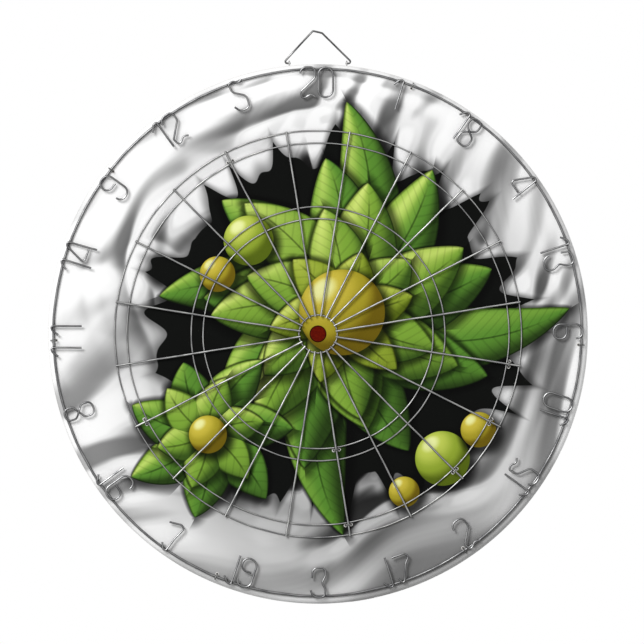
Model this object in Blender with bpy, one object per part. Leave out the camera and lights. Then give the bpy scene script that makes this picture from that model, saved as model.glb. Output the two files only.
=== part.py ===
"""A wall dartboard: a disc of wound paper under a printed facing, a spider of steel wires, a ring
of bent-wire numbers and a wire hanger.

The board is modelled lying down, with X to the right, Y up the board and Z towards the player. An
empty stands it up against the wall, so that in the world it faces -Y with +Z up. The origin is the
middle of its back. Angles run clockwise from the top of the board, in degrees.
"""

import math

import bmesh
import bpy
from mathutils import Vector

# Wound board
BOARD_RADIUS = 0.2255
BOARD_DEPTH = 0.025
SHOULDER_RADIUS = 0.0044
FACING_WALL = 0.0006
BACKING_WALL = 0.0006
PLUG_RADIUS = 0.0068
GLUE_GAP = 0.0003

# Spider, with the radius of each ring at the middle of its wire
BULL_RING_RADIUS = 0.0160
TRIPLE_INNER_RADIUS = 0.0961
TRIPLE_OUTER_RADIUS = 0.1061
DOUBLE_INNER_RADIUS = 0.1596
DOUBLE_OUTER_RADIUS = 0.1700
RING_WIRE = 0.0012
RADIAL_WIRE = 0.0017
RADIAL_OVERHANG = 0.0011
BEDS = 20
WIRE_GAP = 0.0003

# Number ring, which sits a little high on the board, and its bent-wire digits, measured at the
# middle of the wire
NUMBER_RING_INSET = 0.0051
NUMBER_RING_RISE = 0.0008
NUMBER_RING_WIRE = 0.0020
NUMERAL_WIRE = 0.0017
NUMERAL_HEIGHT = 0.0248
NUMERAL_REACH = 0.0012
DIGIT_WIDTH = 0.0125
WELD_WIRE = 0.0012

# Staples
STAPLE_WIRE = 0.0010
STAPLE_LEG = 0.0085
STAPLE_CORNER = 0.0006
STAPLE_SPAN = 0.0047

# Hanger, with its axis just above the edge of the board, and the two eyes it turns in
HANGER_WIRE = 0.0016
HANGER_LIFT = 0.0005
HANGER_FOOT = 0.0290
HANGER_RISE = 0.0270
HANGER_TOP = 0.0056
HANGER_PIN = 0.0060
HANGER_BEND = 0.0016
EYE_WIRE = 0.0012
EYE_INSET = 0.0010
EYE_SPAN = 0.0042
EYE_LEG = 0.0125
EYE_BEND = 0.0012

# Fineness of the faceted solids
BOARD_SIDES = 72
WIDE_RING_SIDES = 60
MIDDLE_RING_SIDES = 48
SMALL_RING_SIDES = 24
PLUG_SIDES = 24
SHOULDER_STEPS = 3
BEND_STEP = math.radians(34)
WIRE_RESOLUTION = 1
MERGE_DISTANCE = GLUE_GAP / 100

# Heights above the wall
FACING_BACK = BOARD_DEPTH - FACING_WALL
RING_LEVEL = BOARD_DEPTH + WIRE_GAP + RING_WIRE / 2
RADIAL_LEVEL = RING_LEVEL + RING_WIRE / 2 + WIRE_GAP + RADIAL_WIRE / 2
NUMBER_RING_LEVEL = BOARD_DEPTH + WIRE_GAP + NUMBER_RING_WIRE / 2
NUMERAL_LEVEL = NUMBER_RING_LEVEL + NUMBER_RING_WIRE / 2 + WIRE_GAP + NUMERAL_WIRE / 2
NUMERAL_CROSSING_LIFT = NUMERAL_WIRE + WIRE_GAP
HANGER_LEVEL = BOARD_DEPTH / 2

# Places that follow the edge of the board
CORE_RADIUS = BOARD_RADIUS - FACING_WALL - GLUE_GAP
NUMBER_RING_RADIUS = BOARD_RADIUS - NUMBER_RING_INSET
HANGER_PIVOT_HEIGHT = BOARD_RADIUS + HANGER_LIFT

# Clockwise from the top of the board
NUMBERS = (20, 1, 18, 4, 13, 6, 10, 15, 2, 17, 3, 19, 7, 16, 8, 11, 14, 9, 12, 5)
NUMBERS_READ_FROM_CENTRE = (10, 15, 2, 17, 3, 19, 7, 16)
STAPLE_ANGLES = (20.8, 92.4, 145.9, 202.8, 268.6, 308.4)
WELD_STAPLE_ANGLES = (268.6,)

# Each bend of a digit is (across, up, radius, lift). Across and radius are shares of the digit's
# width, up is a share of its height, and lift a share of what one wire needs to pass over another.
ZERO_SHARES = ((0, 0, 0.5, 0), (0, 1, 0.5, 0), (0.98, 1, 0.5, 0), (0.98, 0, 0.5, 0))
ONE_SHARES = ((0, 0.79, 0, 0), (0.3, 1, 0.25, 0), (0.59, 1.04, 0.16, 0), (0.6, 0, 0, 0))
FOOTED_ONE_SHARES = ((0.6, 1, 0, 0), (0.6, -0.03, 0.2, 0), (0.32, 0, 0.2, 0), (0, 0.2, 0, 0))
TWO_SHARES = (
    (0, 0.8, 0, 0), (0.03, 1.02, 0.42, 0), (0.98, 1.02, 0.45, 0), (0.98, 0.66, 0.4, 0),
    (0.03, 0.2, 0.12, 0), (0.12, -0.02, 0.2, 0), (0.36, -0.01, 0.25, 0), (0.7, 0.12, 0.3, 0),
    (1, 0.02, 0, 0),
)
THREE_SHARES = (
    (0.05, 0.66, 0, 0), (0.14, 1, 0.35, 0), (0.98, 1, 0.4, 0), (0.98, 0.74, 0.3, 0),
    (0.75, 0.5, 0.15, 0), (0.98, 0.28, 0.3, 0), (0.95, 0, 0.5, 0), (0.1, 0, 0.5, 0), (0, 0.25, 0, 0),
)
FOUR_SHARES = (
    (1, 0, 0, 0), (0.92, 1.03, 0.15, 0), (0.64, 1.01, 0.15, 0), (0, 0.38, 0.15, 0),
    (0.09, 0.28, 0.12, 0), (0.88, 0.27, 0, 0),
)
FIVE_SHARES = (
    (1, 1, 0, 0), (0.72, 0.9, 0.25, 0), (0.4, 1.02, 0.25, 0), (0.06, 0.96, 0.12, 0),
    (0.14, 0.66, 0.35, 0), (0.98, 0.42, 0.35, 0), (0.98, 0, 0.5, 0), (0.3, -0.02, 0.4, 0),
    (0, 0.17, 0, 0),
)
SIX_SHARES = (
    (0.96, 0.76, 0, 0), (0.9, 0.99, 0.4, 0), (0, 0.97, 0.5, 0), (0, 0, 0.5, 0), (0.98, 0, 0.5, 0),
    (0.98, 0.44, 0.4, 0), (0.2, 0.45, 0, 0),
)
SEVEN_SHARES = (
    (0, 0.87, 0, 0), (0.8, 1.03, 0.25, 0), (1.06, 0.95, 0.15, 0), (0.94, 0.5, 0.6, 0),
    (0.92, 0, 0.15, 0), (0.7, 0, 0.15, 0), (0.4, 0.18, 0, 0),
)
SLANTED_SEVEN_SHARES = (
    (0, 0.91, 0, 0), (0.86, 0.93, 0.25, 0), (1.12, 0.8, 0.12, 0), (0.74, 0.56, 0.6, 0),
    (0.4, 0.08, 0.2, 0), (0.26, -0.02, 0.1, 0), (0, 0.18, 0, 0),
)
EIGHT_SHARES = (
    (0, 0, 0.4, 0), (0.88, 0, 0.4, 0), (0.88, 0.36, 0.3, 0), (0.6, 0.458, 0.1, 1),
    (0.28, 0.562, 0.1, 1), (0.03, 0.66, 0.3, 0), (0.03, 1, 0.36, 0), (0.85, 1, 0.36, 0),
    (0.85, 0.66, 0.3, 0), (0, 0.36, 0.3, 0),
)
NINE_SHARES = tuple((1 - across, 1 - up, radius, lift) for across, up, radius, lift in SIX_SHARES)
DIGIT_SHARES = {
    "0": ZERO_SHARES, "1": ONE_SHARES, "2": TWO_SHARES, "3": THREE_SHARES, "4": FOUR_SHARES,
    "5": FIVE_SHARES, "6": SIX_SHARES, "7": SEVEN_SHARES, "8": EIGHT_SHARES, "9": NINE_SHARES,
}
OWN_DIGIT_SHARES = {(number, "1"): FOOTED_ONE_SHARES for number in NUMBERS_READ_FROM_CENTRE}
OWN_DIGIT_SHARES[17, "7"] = SLANTED_SEVEN_SHARES
# Where each digit starts, from the middle line of its bed, as a share of the digit's width
PLACE_SHARES = {
    20: (-1.18, 0.02), 1: (-0.34,), 18: (-0.96, -0.18), 4: (-0.63,), 13: (-1.14, -0.21),
    6: (-0.65,), 10: (-0.83, 0.12), 15: (-0.83, 0.1), 2: (-0.37,), 17: (-0.99, 0.06),
    3: (-0.48,), 19: (-0.96, -0.09), 7: (-0.64,), 16: (-1.02, 0.02), 8: (-0.45,),
    11: (-1.52, -0.06), 14: (-1.1, -0.23), 9: (-0.63,), 12: (-1.02, -0.19), 5: (-0.62,),
}
CLOSED_DIGITS = "08"


def material(name, colour, roughness, metallic=0.0):
    """A plain finish: its colour, roughness and metallic value."""
    made = bpy.data.materials.new(name)
    made.use_nodes = True
    shader = made.node_tree.nodes["Principled BSDF"]
    shader.inputs["Base Color"].default_value = (*colour, 1)
    shader.inputs["Roughness"].default_value = roughness
    shader.inputs["Metallic"].default_value = metallic
    return made


def add(name, data, finish, parent, angle=0.0):
    """Puts a shape on the board, turned clockwise by an angle in degrees."""
    made = bpy.data.objects.new(name, data)
    made.parent = parent
    made.rotation_euler.z = -math.radians(angle)
    if not data.materials:
        data.materials.append(finish)
    bpy.context.scene.collection.objects.link(made)
    return made


def on_circle(radius, angle, level):
    """The point at a radius and a clockwise angle, at a height above the wall."""
    turn = math.radians(angle)
    return Vector((radius * math.sin(turn), radius * math.cos(turn), level))


def turned(name, section, sides):
    """A solid of revolution about Z, from its closed section of (radius, level) points.

    Points on the axis belong at the two ends of the section.
    """
    shape = bmesh.new()
    points = [shape.verts.new((radius, 0, level)) for radius, level in section]
    edges = [shape.edges.new(pair) for pair in zip(points, points[1:])]
    if section[0][0] > 0:
        edges.append(shape.edges.new((points[-1], points[0])))
    bmesh.ops.spin(
        shape, geom=points + edges, cent=(0, 0, 0), axis=(0, 0, 1),
        angle=math.tau, steps=sides, use_merge=True,
    )
    bmesh.ops.remove_doubles(shape, verts=shape.verts, dist=MERGE_DISTANCE)
    bmesh.ops.recalc_face_normals(shape, faces=shape.faces)
    mesh = bpy.data.meshes.new(name)
    shape.to_mesh(mesh)
    shape.free()
    mesh.shade_smooth()
    mesh.set_sharp_from_angle(angle=math.radians(30))
    return mesh


def shoulder(radius, level, curve):
    """The quarter round from a flat front to an upright side, as (radius, level) points."""
    turns = [math.pi / 2 * step / SHOULDER_STEPS for step in range(SHOULDER_STEPS + 1)]
    return [
        (radius - curve + curve * math.sin(turn), level - curve + curve * math.cos(turn))
        for turn in turns
    ]


def bent(corners, closed=False):
    """The path of a wire bent at its corners, each a (point, bend radius) pair.

    A bend takes up no more than half of the run to the next bend, or the whole run at a wire's end.
    """
    path = []
    last = len(corners) - 1
    for place, (corner, radius) in enumerate(corners):
        if not closed and place in (0, last):
            path.append(corner)
            continue
        before = corners[place - 1][0] - corner
        after = corners[(place + 1) % len(corners)][0] - corner
        turn = math.pi - before.angle(after)
        before_share = 1 if not closed and place == 1 else 0.5
        after_share = 1 if not closed and place == last - 1 else 0.5
        room = min(before.length * before_share, after.length * after_share)
        set_back = min(radius * math.tan(turn / 2), room)
        start = corner + before.normalized() * set_back
        end = corner + after.normalized() * set_back
        curve = set_back / math.tan(turn / 2)
        middle = corner + (before.normalized() + after.normalized()).normalized() * (
            curve / math.cos(turn / 2)
        )
        steps = max(1, math.ceil(turn / BEND_STEP))
        for step in range(steps + 1):
            path.append(middle + curve * (start - middle).slerp(end - middle, step / steps))
    return [
        point for place, point in enumerate(path)
        if place == 0 or (point - path[place - 1]).length > GLUE_GAP
    ]


def wire(name, paths, diameter, closed=()):
    """Round wire along one or more paths, with flat cut ends. closed holds the looped ones."""
    curve = bpy.data.curves.new(name, "CURVE")
    curve.dimensions = "3D"
    curve.bevel_depth = diameter / 2
    curve.bevel_resolution = WIRE_RESOLUTION
    curve.use_fill_caps = True
    for place, path in enumerate(paths):
        spline = curve.splines.new("POLY")
        spline.points.add(len(path) - 1)
        spline.use_cyclic_u = place in closed
        for point, spot in zip(spline.points, path):
            point.co = (*spot, 1)
    return curve


def solid_wire(name, path, diameter, closed):
    """The same wire as a closed mesh, which a Boolean can join."""
    curve = wire(name, [path], diameter, closed=(0,) if closed else ())
    rough = bpy.data.objects.new(name, curve)
    mesh = bpy.data.meshes.new_from_object(rough)
    bpy.data.objects.remove(rough)
    bpy.data.curves.remove(curve)
    shape = bmesh.new()
    shape.from_mesh(mesh)
    bmesh.ops.remove_doubles(shape, verts=shape.verts, dist=MERGE_DISTANCE)
    shape.to_mesh(mesh)
    shape.free()
    return mesh


def ring(name, radius, level, diameter, sides):
    """A closed ring of wire that lies flat on the board."""
    path = [on_circle(radius, 360 * side / sides, level) for side in range(sides)]
    return wire(name, [path], diameter, closed=(0,))


def digit(shares, closed, left, foot):
    """The path of one digit, from its table of shares, standing at a point left and foot."""
    corners = []
    for across, up, radius, lift in shares:
        spot = Vector((left + across * DIGIT_WIDTH, foot + up * NUMERAL_HEIGHT, 0))
        spot.z = NUMERAL_LEVEL + lift * NUMERAL_CROSSING_LIFT
        corners.append((spot, radius * DIGIT_WIDTH))
    return bent(corners, closed)


def crossings(path, height):
    """How far across a path passes a height, at each place where it does."""
    found = []
    for start, end in zip(path, path[1:]):
        if (start.y - height) * (end.y - height) < 0:
            found.append(start.lerp(end, (height - start.y) / (end.y - start.y)).x)
    return found


def numeral(number, parent, steel):
    """One number, as wires welded to the ring at their outer ends.

    A number in the lower half reads from the centre, so it is made upside down at the bottom of
    the board and turned from there. Two digits are joined by the weld that runs along the ring.
    """
    from_centre = number in NUMBERS_READ_FROM_CENTRE
    outer = NUMBER_RING_RADIUS + NUMERAL_REACH
    foot = -outer if from_centre else outer - NUMERAL_HEIGHT
    weld_height = -NUMBER_RING_RADIUS if from_centre else NUMBER_RING_RADIUS
    angle = 360 / BEDS * NUMBERS.index(number) - (180 if from_centre else 0)
    name = f"numeral_{number}"
    made = []
    weld = []
    for place, (figure, left_share) in enumerate(zip(str(number), PLACE_SHARES[number])):
        closed = figure in CLOSED_DIGITS
        shares = OWN_DIGIT_SHARES.get((number, figure), DIGIT_SHARES[figure])
        path = digit(shares, closed, left_share * DIGIT_WIDTH, foot)
        mesh = solid_wire(f"{name}_{place}", path, NUMERAL_WIRE, closed)
        made.append(add(f"{name}_{place}" if place else name, mesh, steel, parent, angle))
        nearest = min if place else max
        weld.append(Vector((nearest(crossings(path, weld_height)), weld_height, NUMERAL_LEVEL)))
    if len(made) > 1:
        run = solid_wire(f"{name}_weld", weld, WELD_WIRE, closed=False)
        made.append(add(f"{name}_weld", run, steel, parent, angle))
    for other in made[1:]:
        combine(made[0], other, "UNION")


def staple(angle, crown_level):
    """The legs of one staple over the number ring, as points on the wall, and its whole path."""
    inner = on_circle(NUMBER_RING_RADIUS - STAPLE_SPAN / 2, angle, 0)
    outer = on_circle(NUMBER_RING_RADIUS + STAPLE_SPAN / 2, angle, 0)
    crown = Vector((0, 0, crown_level))
    tip = Vector((0, 0, crown_level - STAPLE_LEG))
    path = bent([
        (inner + tip, 0), (inner + crown, STAPLE_CORNER),
        (outer + crown, STAPLE_CORNER), (outer + tip, 0),
    ])
    return (inner, outer), path


def boxes(name, spans):
    """One cutter made of upright boxes, each between two opposite corners."""
    shape = bmesh.new()
    for low, high in spans:
        made = bmesh.ops.create_cube(shape, size=1)["verts"]
        bmesh.ops.scale(shape, verts=made, vec=high - low)
        bmesh.ops.translate(shape, verts=made, vec=(low + high) / 2)
    mesh = bpy.data.meshes.new(name)
    shape.to_mesh(mesh)
    shape.free()
    return mesh


def combine(piece, other, operation):
    """Cuts a hidden shape out of a piece, or joins it on."""
    other.hide_render = True
    other.display_type = "WIRE"
    modifier = piece.modifiers.new(other.name, "BOOLEAN")
    modifier.operation = operation
    modifier.solver = "EXACT"
    modifier.object = other


def leg_hole(leg, crown_level):
    """The upright hole for one staple leg, from just past its tip to clear of the front."""
    half = Vector((STAPLE_WIRE / 2 + GLUE_GAP, STAPLE_WIRE / 2 + GLUE_GAP, 0))
    bottom = Vector((leg.x, leg.y, crown_level - STAPLE_LEG - GLUE_GAP))
    top = Vector((leg.x, leg.y, crown_level))
    return bottom - half, top + half


def make_board(parent, finishes):
    """The wound core, its plug, the facing that also covers the rim, and the backing."""
    core_back = BACKING_WALL + GLUE_GAP
    core_front = FACING_BACK - GLUE_GAP
    bore = PLUG_RADIUS + GLUE_GAP
    core_curve = SHOULDER_RADIUS - FACING_WALL - GLUE_GAP
    core_section = [(bore, core_back), (CORE_RADIUS, core_back)]
    core_section += shoulder(CORE_RADIUS, core_front, core_curve)[::-1]
    core_section.append((bore, core_front))
    core = add("board_core", turned("board_core", core_section, BOARD_SIDES), finishes["paper"], parent)

    plug_section = [(0, core_back), (PLUG_RADIUS, core_back), (PLUG_RADIUS, BOARD_DEPTH), (0, BOARD_DEPTH)]
    add("bull_plug", turned("bull_plug", plug_section, PLUG_SIDES), finishes["plug"], parent)

    outer = shoulder(BOARD_RADIUS, BOARD_DEPTH, SHOULDER_RADIUS)
    inner = shoulder(BOARD_RADIUS - FACING_WALL, FACING_BACK, SHOULDER_RADIUS - FACING_WALL)
    facing_section = [(bore, BOARD_DEPTH)] + outer
    facing_section += [(BOARD_RADIUS, 0), (BOARD_RADIUS - FACING_WALL, 0)]
    facing_section += inner[::-1] + [(bore, FACING_BACK)]
    facing = add(
        "front_sheet", turned("front_sheet", facing_section, BOARD_SIDES), finishes["print"], parent
    )

    backing_section = [(0, 0), (CORE_RADIUS, 0), (CORE_RADIUS, BACKING_WALL), (0, BACKING_WALL)]
    add("back_sheet", turned("back_sheet", backing_section, BOARD_SIDES), finishes["backing"], parent)
    return core, facing


def make_spider(parent, steel):
    """The scoring rings, and the radial wires that lie across them."""
    for name, radius, sides in (
        ("double_ring_outer", DOUBLE_OUTER_RADIUS, WIDE_RING_SIDES),
        ("double_ring_inner", DOUBLE_INNER_RADIUS, WIDE_RING_SIDES),
        ("triple_ring_outer", TRIPLE_OUTER_RADIUS, MIDDLE_RING_SIDES),
        ("triple_ring_inner", TRIPLE_INNER_RADIUS, MIDDLE_RING_SIDES),
        ("bull_ring", BULL_RING_RADIUS, SMALL_RING_SIDES),
    ):
        add(name, ring(name, radius, RING_LEVEL, RING_WIRE, sides), steel, parent)
    inner_end = on_circle(BULL_RING_RADIUS - RADIAL_OVERHANG, 0, RADIAL_LEVEL)
    outer_end = on_circle(DOUBLE_OUTER_RADIUS + RADIAL_OVERHANG, 0, RADIAL_LEVEL)
    radial = wire("radial_wire", [[inner_end, outer_end]], RADIAL_WIRE)
    for place in range(BEDS):
        angle = 360 / BEDS * (place + 0.5)
        add(f"radial_wire_{place + 1:02d}", radial, steel, parent, angle)


def make_number_ring(parent, steel):
    """The ring near the edge, and the numbers on it."""
    number_ring = ring(
        "number_ring", NUMBER_RING_RADIUS, NUMBER_RING_LEVEL, NUMBER_RING_WIRE, WIDE_RING_SIDES
    )
    add("number_ring", number_ring, steel, parent)
    for number in NUMBERS:
        numeral(number, parent, steel)


def make_staples(parent, steel, core, facing):
    """The staples over the number ring, or over a weld on it, and their holes in the board."""
    over_ring = NUMBER_RING_LEVEL + NUMBER_RING_WIRE / 2 + WIRE_GAP + STAPLE_WIRE / 2
    over_weld = NUMERAL_LEVEL + WELD_WIRE / 2 + WIRE_GAP + STAPLE_WIRE / 2
    holes = []
    for place, angle in enumerate(STAPLE_ANGLES, 1):
        name = f"number_ring_staple_{place}"
        crown_level = over_weld if angle in WELD_STAPLE_ANGLES else over_ring
        legs, path = staple(angle, crown_level)
        add(name, wire(name, [path], STAPLE_WIRE), steel, parent)
        holes += [leg_hole(leg, crown_level) for leg in legs]
    cutter = add("staple_holes", boxes("staple_holes", holes), steel, parent)
    combine(core, cutter, "DIFFERENCE")
    combine(facing, cutter, "DIFFERENCE")


def make_hanger(parent, steel, core, facing):
    """The hanging loop, on its own axis, and the eyes that its pins turn in."""
    axis = bpy.data.objects.new("hanger_axis", None)
    axis.parent = parent
    axis.location = (0, HANGER_PIVOT_HEIGHT, HANGER_LEVEL)
    bpy.context.scene.collection.objects.link(axis)
    half = [
        (Vector((HANGER_FOOT - HANGER_PIN, 0, 0)), 0),
        (Vector((HANGER_FOOT, 0, 0)), HANGER_BEND),
        (Vector((HANGER_TOP / 2, HANGER_RISE, 0)), HANGER_BEND),
    ]
    other_half = [(Vector((-spot.x, spot.y, spot.z)), bend) for spot, bend in half[::-1]]
    add("hanger", wire("hanger", [bent(half + other_half)], HANGER_WIRE), steel, axis)

    crown = HANGER_PIVOT_HEIGHT + HANGER_WIRE / 2 + WIRE_GAP + EYE_WIRE / 2
    tip = crown - EYE_LEG
    hole_half = EYE_WIRE / 2 + GLUE_GAP
    holes = []
    for side, name in ((-1, "hanger_eye_left"), (1, "hanger_eye_right")):
        across = side * (HANGER_FOOT - HANGER_PIN + EYE_INSET)
        legs = [HANGER_LEVEL - EYE_SPAN / 2, HANGER_LEVEL + EYE_SPAN / 2]
        corners = [(Vector((across, tip, legs[0])), 0)]
        corners += [(Vector((across, crown, leg)), EYE_BEND) for leg in legs]
        corners.append((Vector((across, tip, legs[1])), 0))
        add(name, wire(name, [bent(corners)], EYE_WIRE), steel, parent)
        for leg in legs:
            low = Vector((across - hole_half, tip - GLUE_GAP, leg - hole_half))
            high = Vector((across + hole_half, crown, leg + hole_half))
            holes.append((low, high))
    cutter = add("eye_holes", boxes("eye_holes", holes), steel, parent)
    combine(core, cutter, "DIFFERENCE")
    combine(facing, cutter, "DIFFERENCE")


def main():
    for old in list(bpy.data.objects):
        bpy.data.objects.remove(old)
    finishes = {
        "paper": material("wound_paper", (0.42, 0.29, 0.17), 0.85),
        "plug": material("red_plug", (0.23, 0.012, 0.01), 0.6),
        "print": material("printed_facing", (0.72, 0.72, 0.72), 0.4),
        "backing": material("backing_paper", (0.16, 0.12, 0.08), 0.8),
    }
    steel = material("galvanised_steel", (0.42, 0.42, 0.43), 0.35, metallic=1.0)
    wall = bpy.data.objects.new("wall", None)
    wall.rotation_euler.x = math.radians(90)
    bpy.context.scene.collection.objects.link(wall)
    core, facing = make_board(wall, finishes)
    make_spider(wall, steel)
    ring_middle = bpy.data.objects.new("number_ring_middle", None)
    ring_middle.parent = wall
    ring_middle.location = (0, NUMBER_RING_RISE, 0)
    bpy.context.scene.collection.objects.link(ring_middle)
    make_number_ring(ring_middle, steel)
    make_staples(ring_middle, steel, core, facing)
    make_hanger(wall, steel, core, facing)


main()
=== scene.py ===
# %% [markdown]
# # A wall dartboard, dressed for its portrait
#
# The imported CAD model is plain: wires with six sides, flat grey finishes and a facing with nothing
# printed on it. It does say where each piece is and how big. This notebook puts a finer piece over
# each plain one, in the same place, and gives each of them a finish made of nodes. Angles run
# clockwise from the top of the board, in degrees, as the numbers of a dartboard do.

# %% Load the CAD frame
import math

import bmesh
import bpy
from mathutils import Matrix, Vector


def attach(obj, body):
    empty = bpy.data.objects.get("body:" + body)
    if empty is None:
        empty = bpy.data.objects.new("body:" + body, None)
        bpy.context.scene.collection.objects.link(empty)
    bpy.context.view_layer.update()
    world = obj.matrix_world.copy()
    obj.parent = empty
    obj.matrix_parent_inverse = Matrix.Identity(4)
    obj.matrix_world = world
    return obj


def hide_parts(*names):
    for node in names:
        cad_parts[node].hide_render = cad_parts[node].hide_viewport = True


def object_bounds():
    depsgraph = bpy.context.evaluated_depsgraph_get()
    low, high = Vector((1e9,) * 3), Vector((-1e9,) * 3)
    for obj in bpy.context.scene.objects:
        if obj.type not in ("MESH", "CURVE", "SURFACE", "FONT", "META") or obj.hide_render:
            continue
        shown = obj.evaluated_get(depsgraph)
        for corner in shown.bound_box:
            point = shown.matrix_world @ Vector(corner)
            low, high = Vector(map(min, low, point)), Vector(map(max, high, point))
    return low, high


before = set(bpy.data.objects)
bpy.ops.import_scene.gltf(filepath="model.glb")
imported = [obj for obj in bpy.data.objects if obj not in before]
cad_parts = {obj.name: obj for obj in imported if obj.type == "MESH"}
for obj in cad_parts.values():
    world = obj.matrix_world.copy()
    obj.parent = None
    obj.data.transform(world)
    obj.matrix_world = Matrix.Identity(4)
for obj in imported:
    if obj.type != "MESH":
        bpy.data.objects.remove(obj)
cad_low, cad_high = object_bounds()
print("CAD box, mm:", [round(1000 * side, 1) for side in cad_high - cad_low])

# %% [markdown]
# ## Sizes
#
# The frame gives finished solids, not the sizes they were drawn from, so the few that are needed to
# bend a finer wire along the same path are written out again. A level is a height above the wall.
# The board faces -Y, so a level of 25 mm is at y = -0.025.

# %% Sizes of the board and its wires
MM = 0.001
BOARD_RADIUS, BOARD_DEPTH, SHOULDER_RADIUS = 225.5 * MM, 25.0 * MM, 4.4 * MM
PAPER_WALL, PLUG_RADIUS, GLUE_GAP = 0.6 * MM, 6.8 * MM, 0.3 * MM
SCORING_RINGS = {
    "bull_ring": 16.0 * MM,
    "triple_ring_inner": 96.1 * MM,
    "triple_ring_outer": 106.1 * MM,
    "double_ring_inner": 159.6 * MM,
    "double_ring_outer": 170.0 * MM,
}
BEDS = 20
RING_WIRE, RADIAL_WIRE, RADIAL_OVERHANG = 1.2 * MM, 1.7 * MM, 1.1 * MM
NUMBER_RING_RADIUS, NUMBER_RING_WIRE, NUMERAL_WIRE = 220.4 * MM, 2.0 * MM, 1.7 * MM
STAPLE_WIRE, HANGER_WIRE, EYE_WIRE = 1.0 * MM, 1.6 * MM, 1.2 * MM

RING_LEVEL, RADIAL_LEVEL = 25.9 * MM, 27.65 * MM
NUMBER_RING_LEVEL, NUMERAL_LEVEL = 26.3 * MM, 28.45 * MM
HANGER_LEVEL, HANGER_PIVOT = 12.5 * MM, 226.0 * MM


def on_board(radius, angle, level):
    """The point at a radius and a clockwise angle in degrees, at a height above the wall."""
    turn = math.radians(angle)
    return Vector((radius * math.sin(turn), -level, radius * math.cos(turn)))


print("Top of the doubles ring:", tuple(on_board(SCORING_RINGS["double_ring_outer"], 0, RING_LEVEL)))

# %% [markdown]
# ## Writing node trees like sums
#
# Both the finishes (shader nodes) and the repeated pieces (Geometry Nodes) are trees. Placing a
# node, setting it and wiring it takes five lines in plain Blender code. `add` does it in one, and
# gives a `Value`, which stands for what flows out of the node. Values are added and multiplied like
# numbers, and each sign adds a Math node, so that a tree below reads like a recipe.


# %% Values and nodes
class Value:
    """What flows out of a socket. A sum written with it, such as 2 * a + b, adds Math nodes."""

    def __init__(self, socket):
        self.socket = socket

    def __add__(self, other):
        return calc("ADD", self, other)

    def __sub__(self, other):
        return calc("SUBTRACT", self, other)

    def __rsub__(self, other):
        return calc("SUBTRACT", other, self)

    def __mul__(self, other):
        return calc("MULTIPLY", self, other)

    def __truediv__(self, other):
        return calc("DIVIDE", self, other)

    def __rtruediv__(self, other):
        return calc("DIVIDE", other, self)

    def __pow__(self, other):
        return calc("POWER", self, other)

    def __neg__(self):
        return calc("MULTIPLY", self, -1.0)

    def __abs__(self):
        return calc("ABSOLUTE", self)

    __radd__, __rmul__ = __add__, __mul__


def feed(socket, value):
    """Gives a socket what flows out of another one, or a plain number, colour or name."""
    if isinstance(value, Value):
        socket.id_data.links.new(value.socket, socket)
    else:
        socket.default_value = value


def add(tree, kind, inputs=None, output=0, **settings):
    """Adds a node with its settings, feeds its inputs by name or number, and gives an output."""
    node = tree.nodes.new(kind)
    for setting, value in settings.items():
        setattr(node, setting, value)
    for name, value in (inputs or {}).items():
        feed(node.inputs[name], value)
    return Value(node.outputs[output])


def tree_of(*values):
    """The tree that the first wired one of these values flows in."""
    return next(value.socket.id_data for value in values if isinstance(value, Value))


def calc(operation, *values):
    """The result of a Math node."""
    return add(tree_of(*values), "ShaderNodeMath", dict(enumerate(values)), operation=operation)


print("Values can be added, subtracted, multiplied, divided and raised to a power")

# %% [markdown]
# ## Helpers that the trees share
#
# A vector holds a place or a direction, and has sums of its own. `split` takes it apart and `vector`
# puts one together. `stretch` and `blend` do most of the painting: the first turns one range of
# numbers into another, and the second lays a colour over another. `arrange` sets the nodes out in
# columns, so that a tree can also be read in the node editor.


# %% Vectors
def vector_calc(operation, *vectors):
    """The result of a Vector Math node: a vector, or a number where it is a length."""
    output = "Value" if operation in ("LENGTH", "DISTANCE") else 0
    inputs = dict(enumerate(vectors))
    return add(tree_of(*vectors), "ShaderNodeVectorMath", inputs, output, operation=operation)


def scaled(spot, factor):
    """A vector made longer or shorter."""
    inputs = {0: spot, "Scale": factor}
    return add(tree_of(spot, factor), "ShaderNodeVectorMath", inputs, operation="SCALE")


def split(spot):
    """The X, Y and Z of a vector."""
    first = add(tree_of(spot), "ShaderNodeSeparateXYZ", {0: spot})
    return [Value(socket) for socket in first.socket.node.outputs]


def vector(tree, x=0.0, y=0.0, z=0.0):
    """A vector from three numbers."""
    return add(tree, "ShaderNodeCombineXYZ", {0: x, 1: y, 2: z})


print("Vector helpers ready")


# %% Painting
def noise(spot, scale=1.0, detail=1.0, output=0):
    """Smooth chance at a place: a number, or a colour at output 1."""
    inputs = {"Vector": spot, "Scale": scale, "Detail": detail}
    return add(tree_of(spot), "ShaderNodeTexNoise", inputs, output)


def stretch(value, low, high, to_low=0.0, to_high=1.0):
    """Eases from one value to another while the input goes from low to high."""
    inputs = {0: value, 1: low, 2: high, 3: to_low, 4: to_high}
    return add(tree_of(value), "ShaderNodeMapRange", inputs, interpolation_type="SMOOTHSTEP")


def blend(share, below, above, way="MIX"):
    """Lays one colour over another."""
    inputs = {0: share, 6: below, 7: above}
    tree = tree_of(share, below, above)
    return add(tree, "ShaderNodeMix", inputs, 2, data_type="RGBA", blend_type=way)


print("Painting helpers ready")


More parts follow.
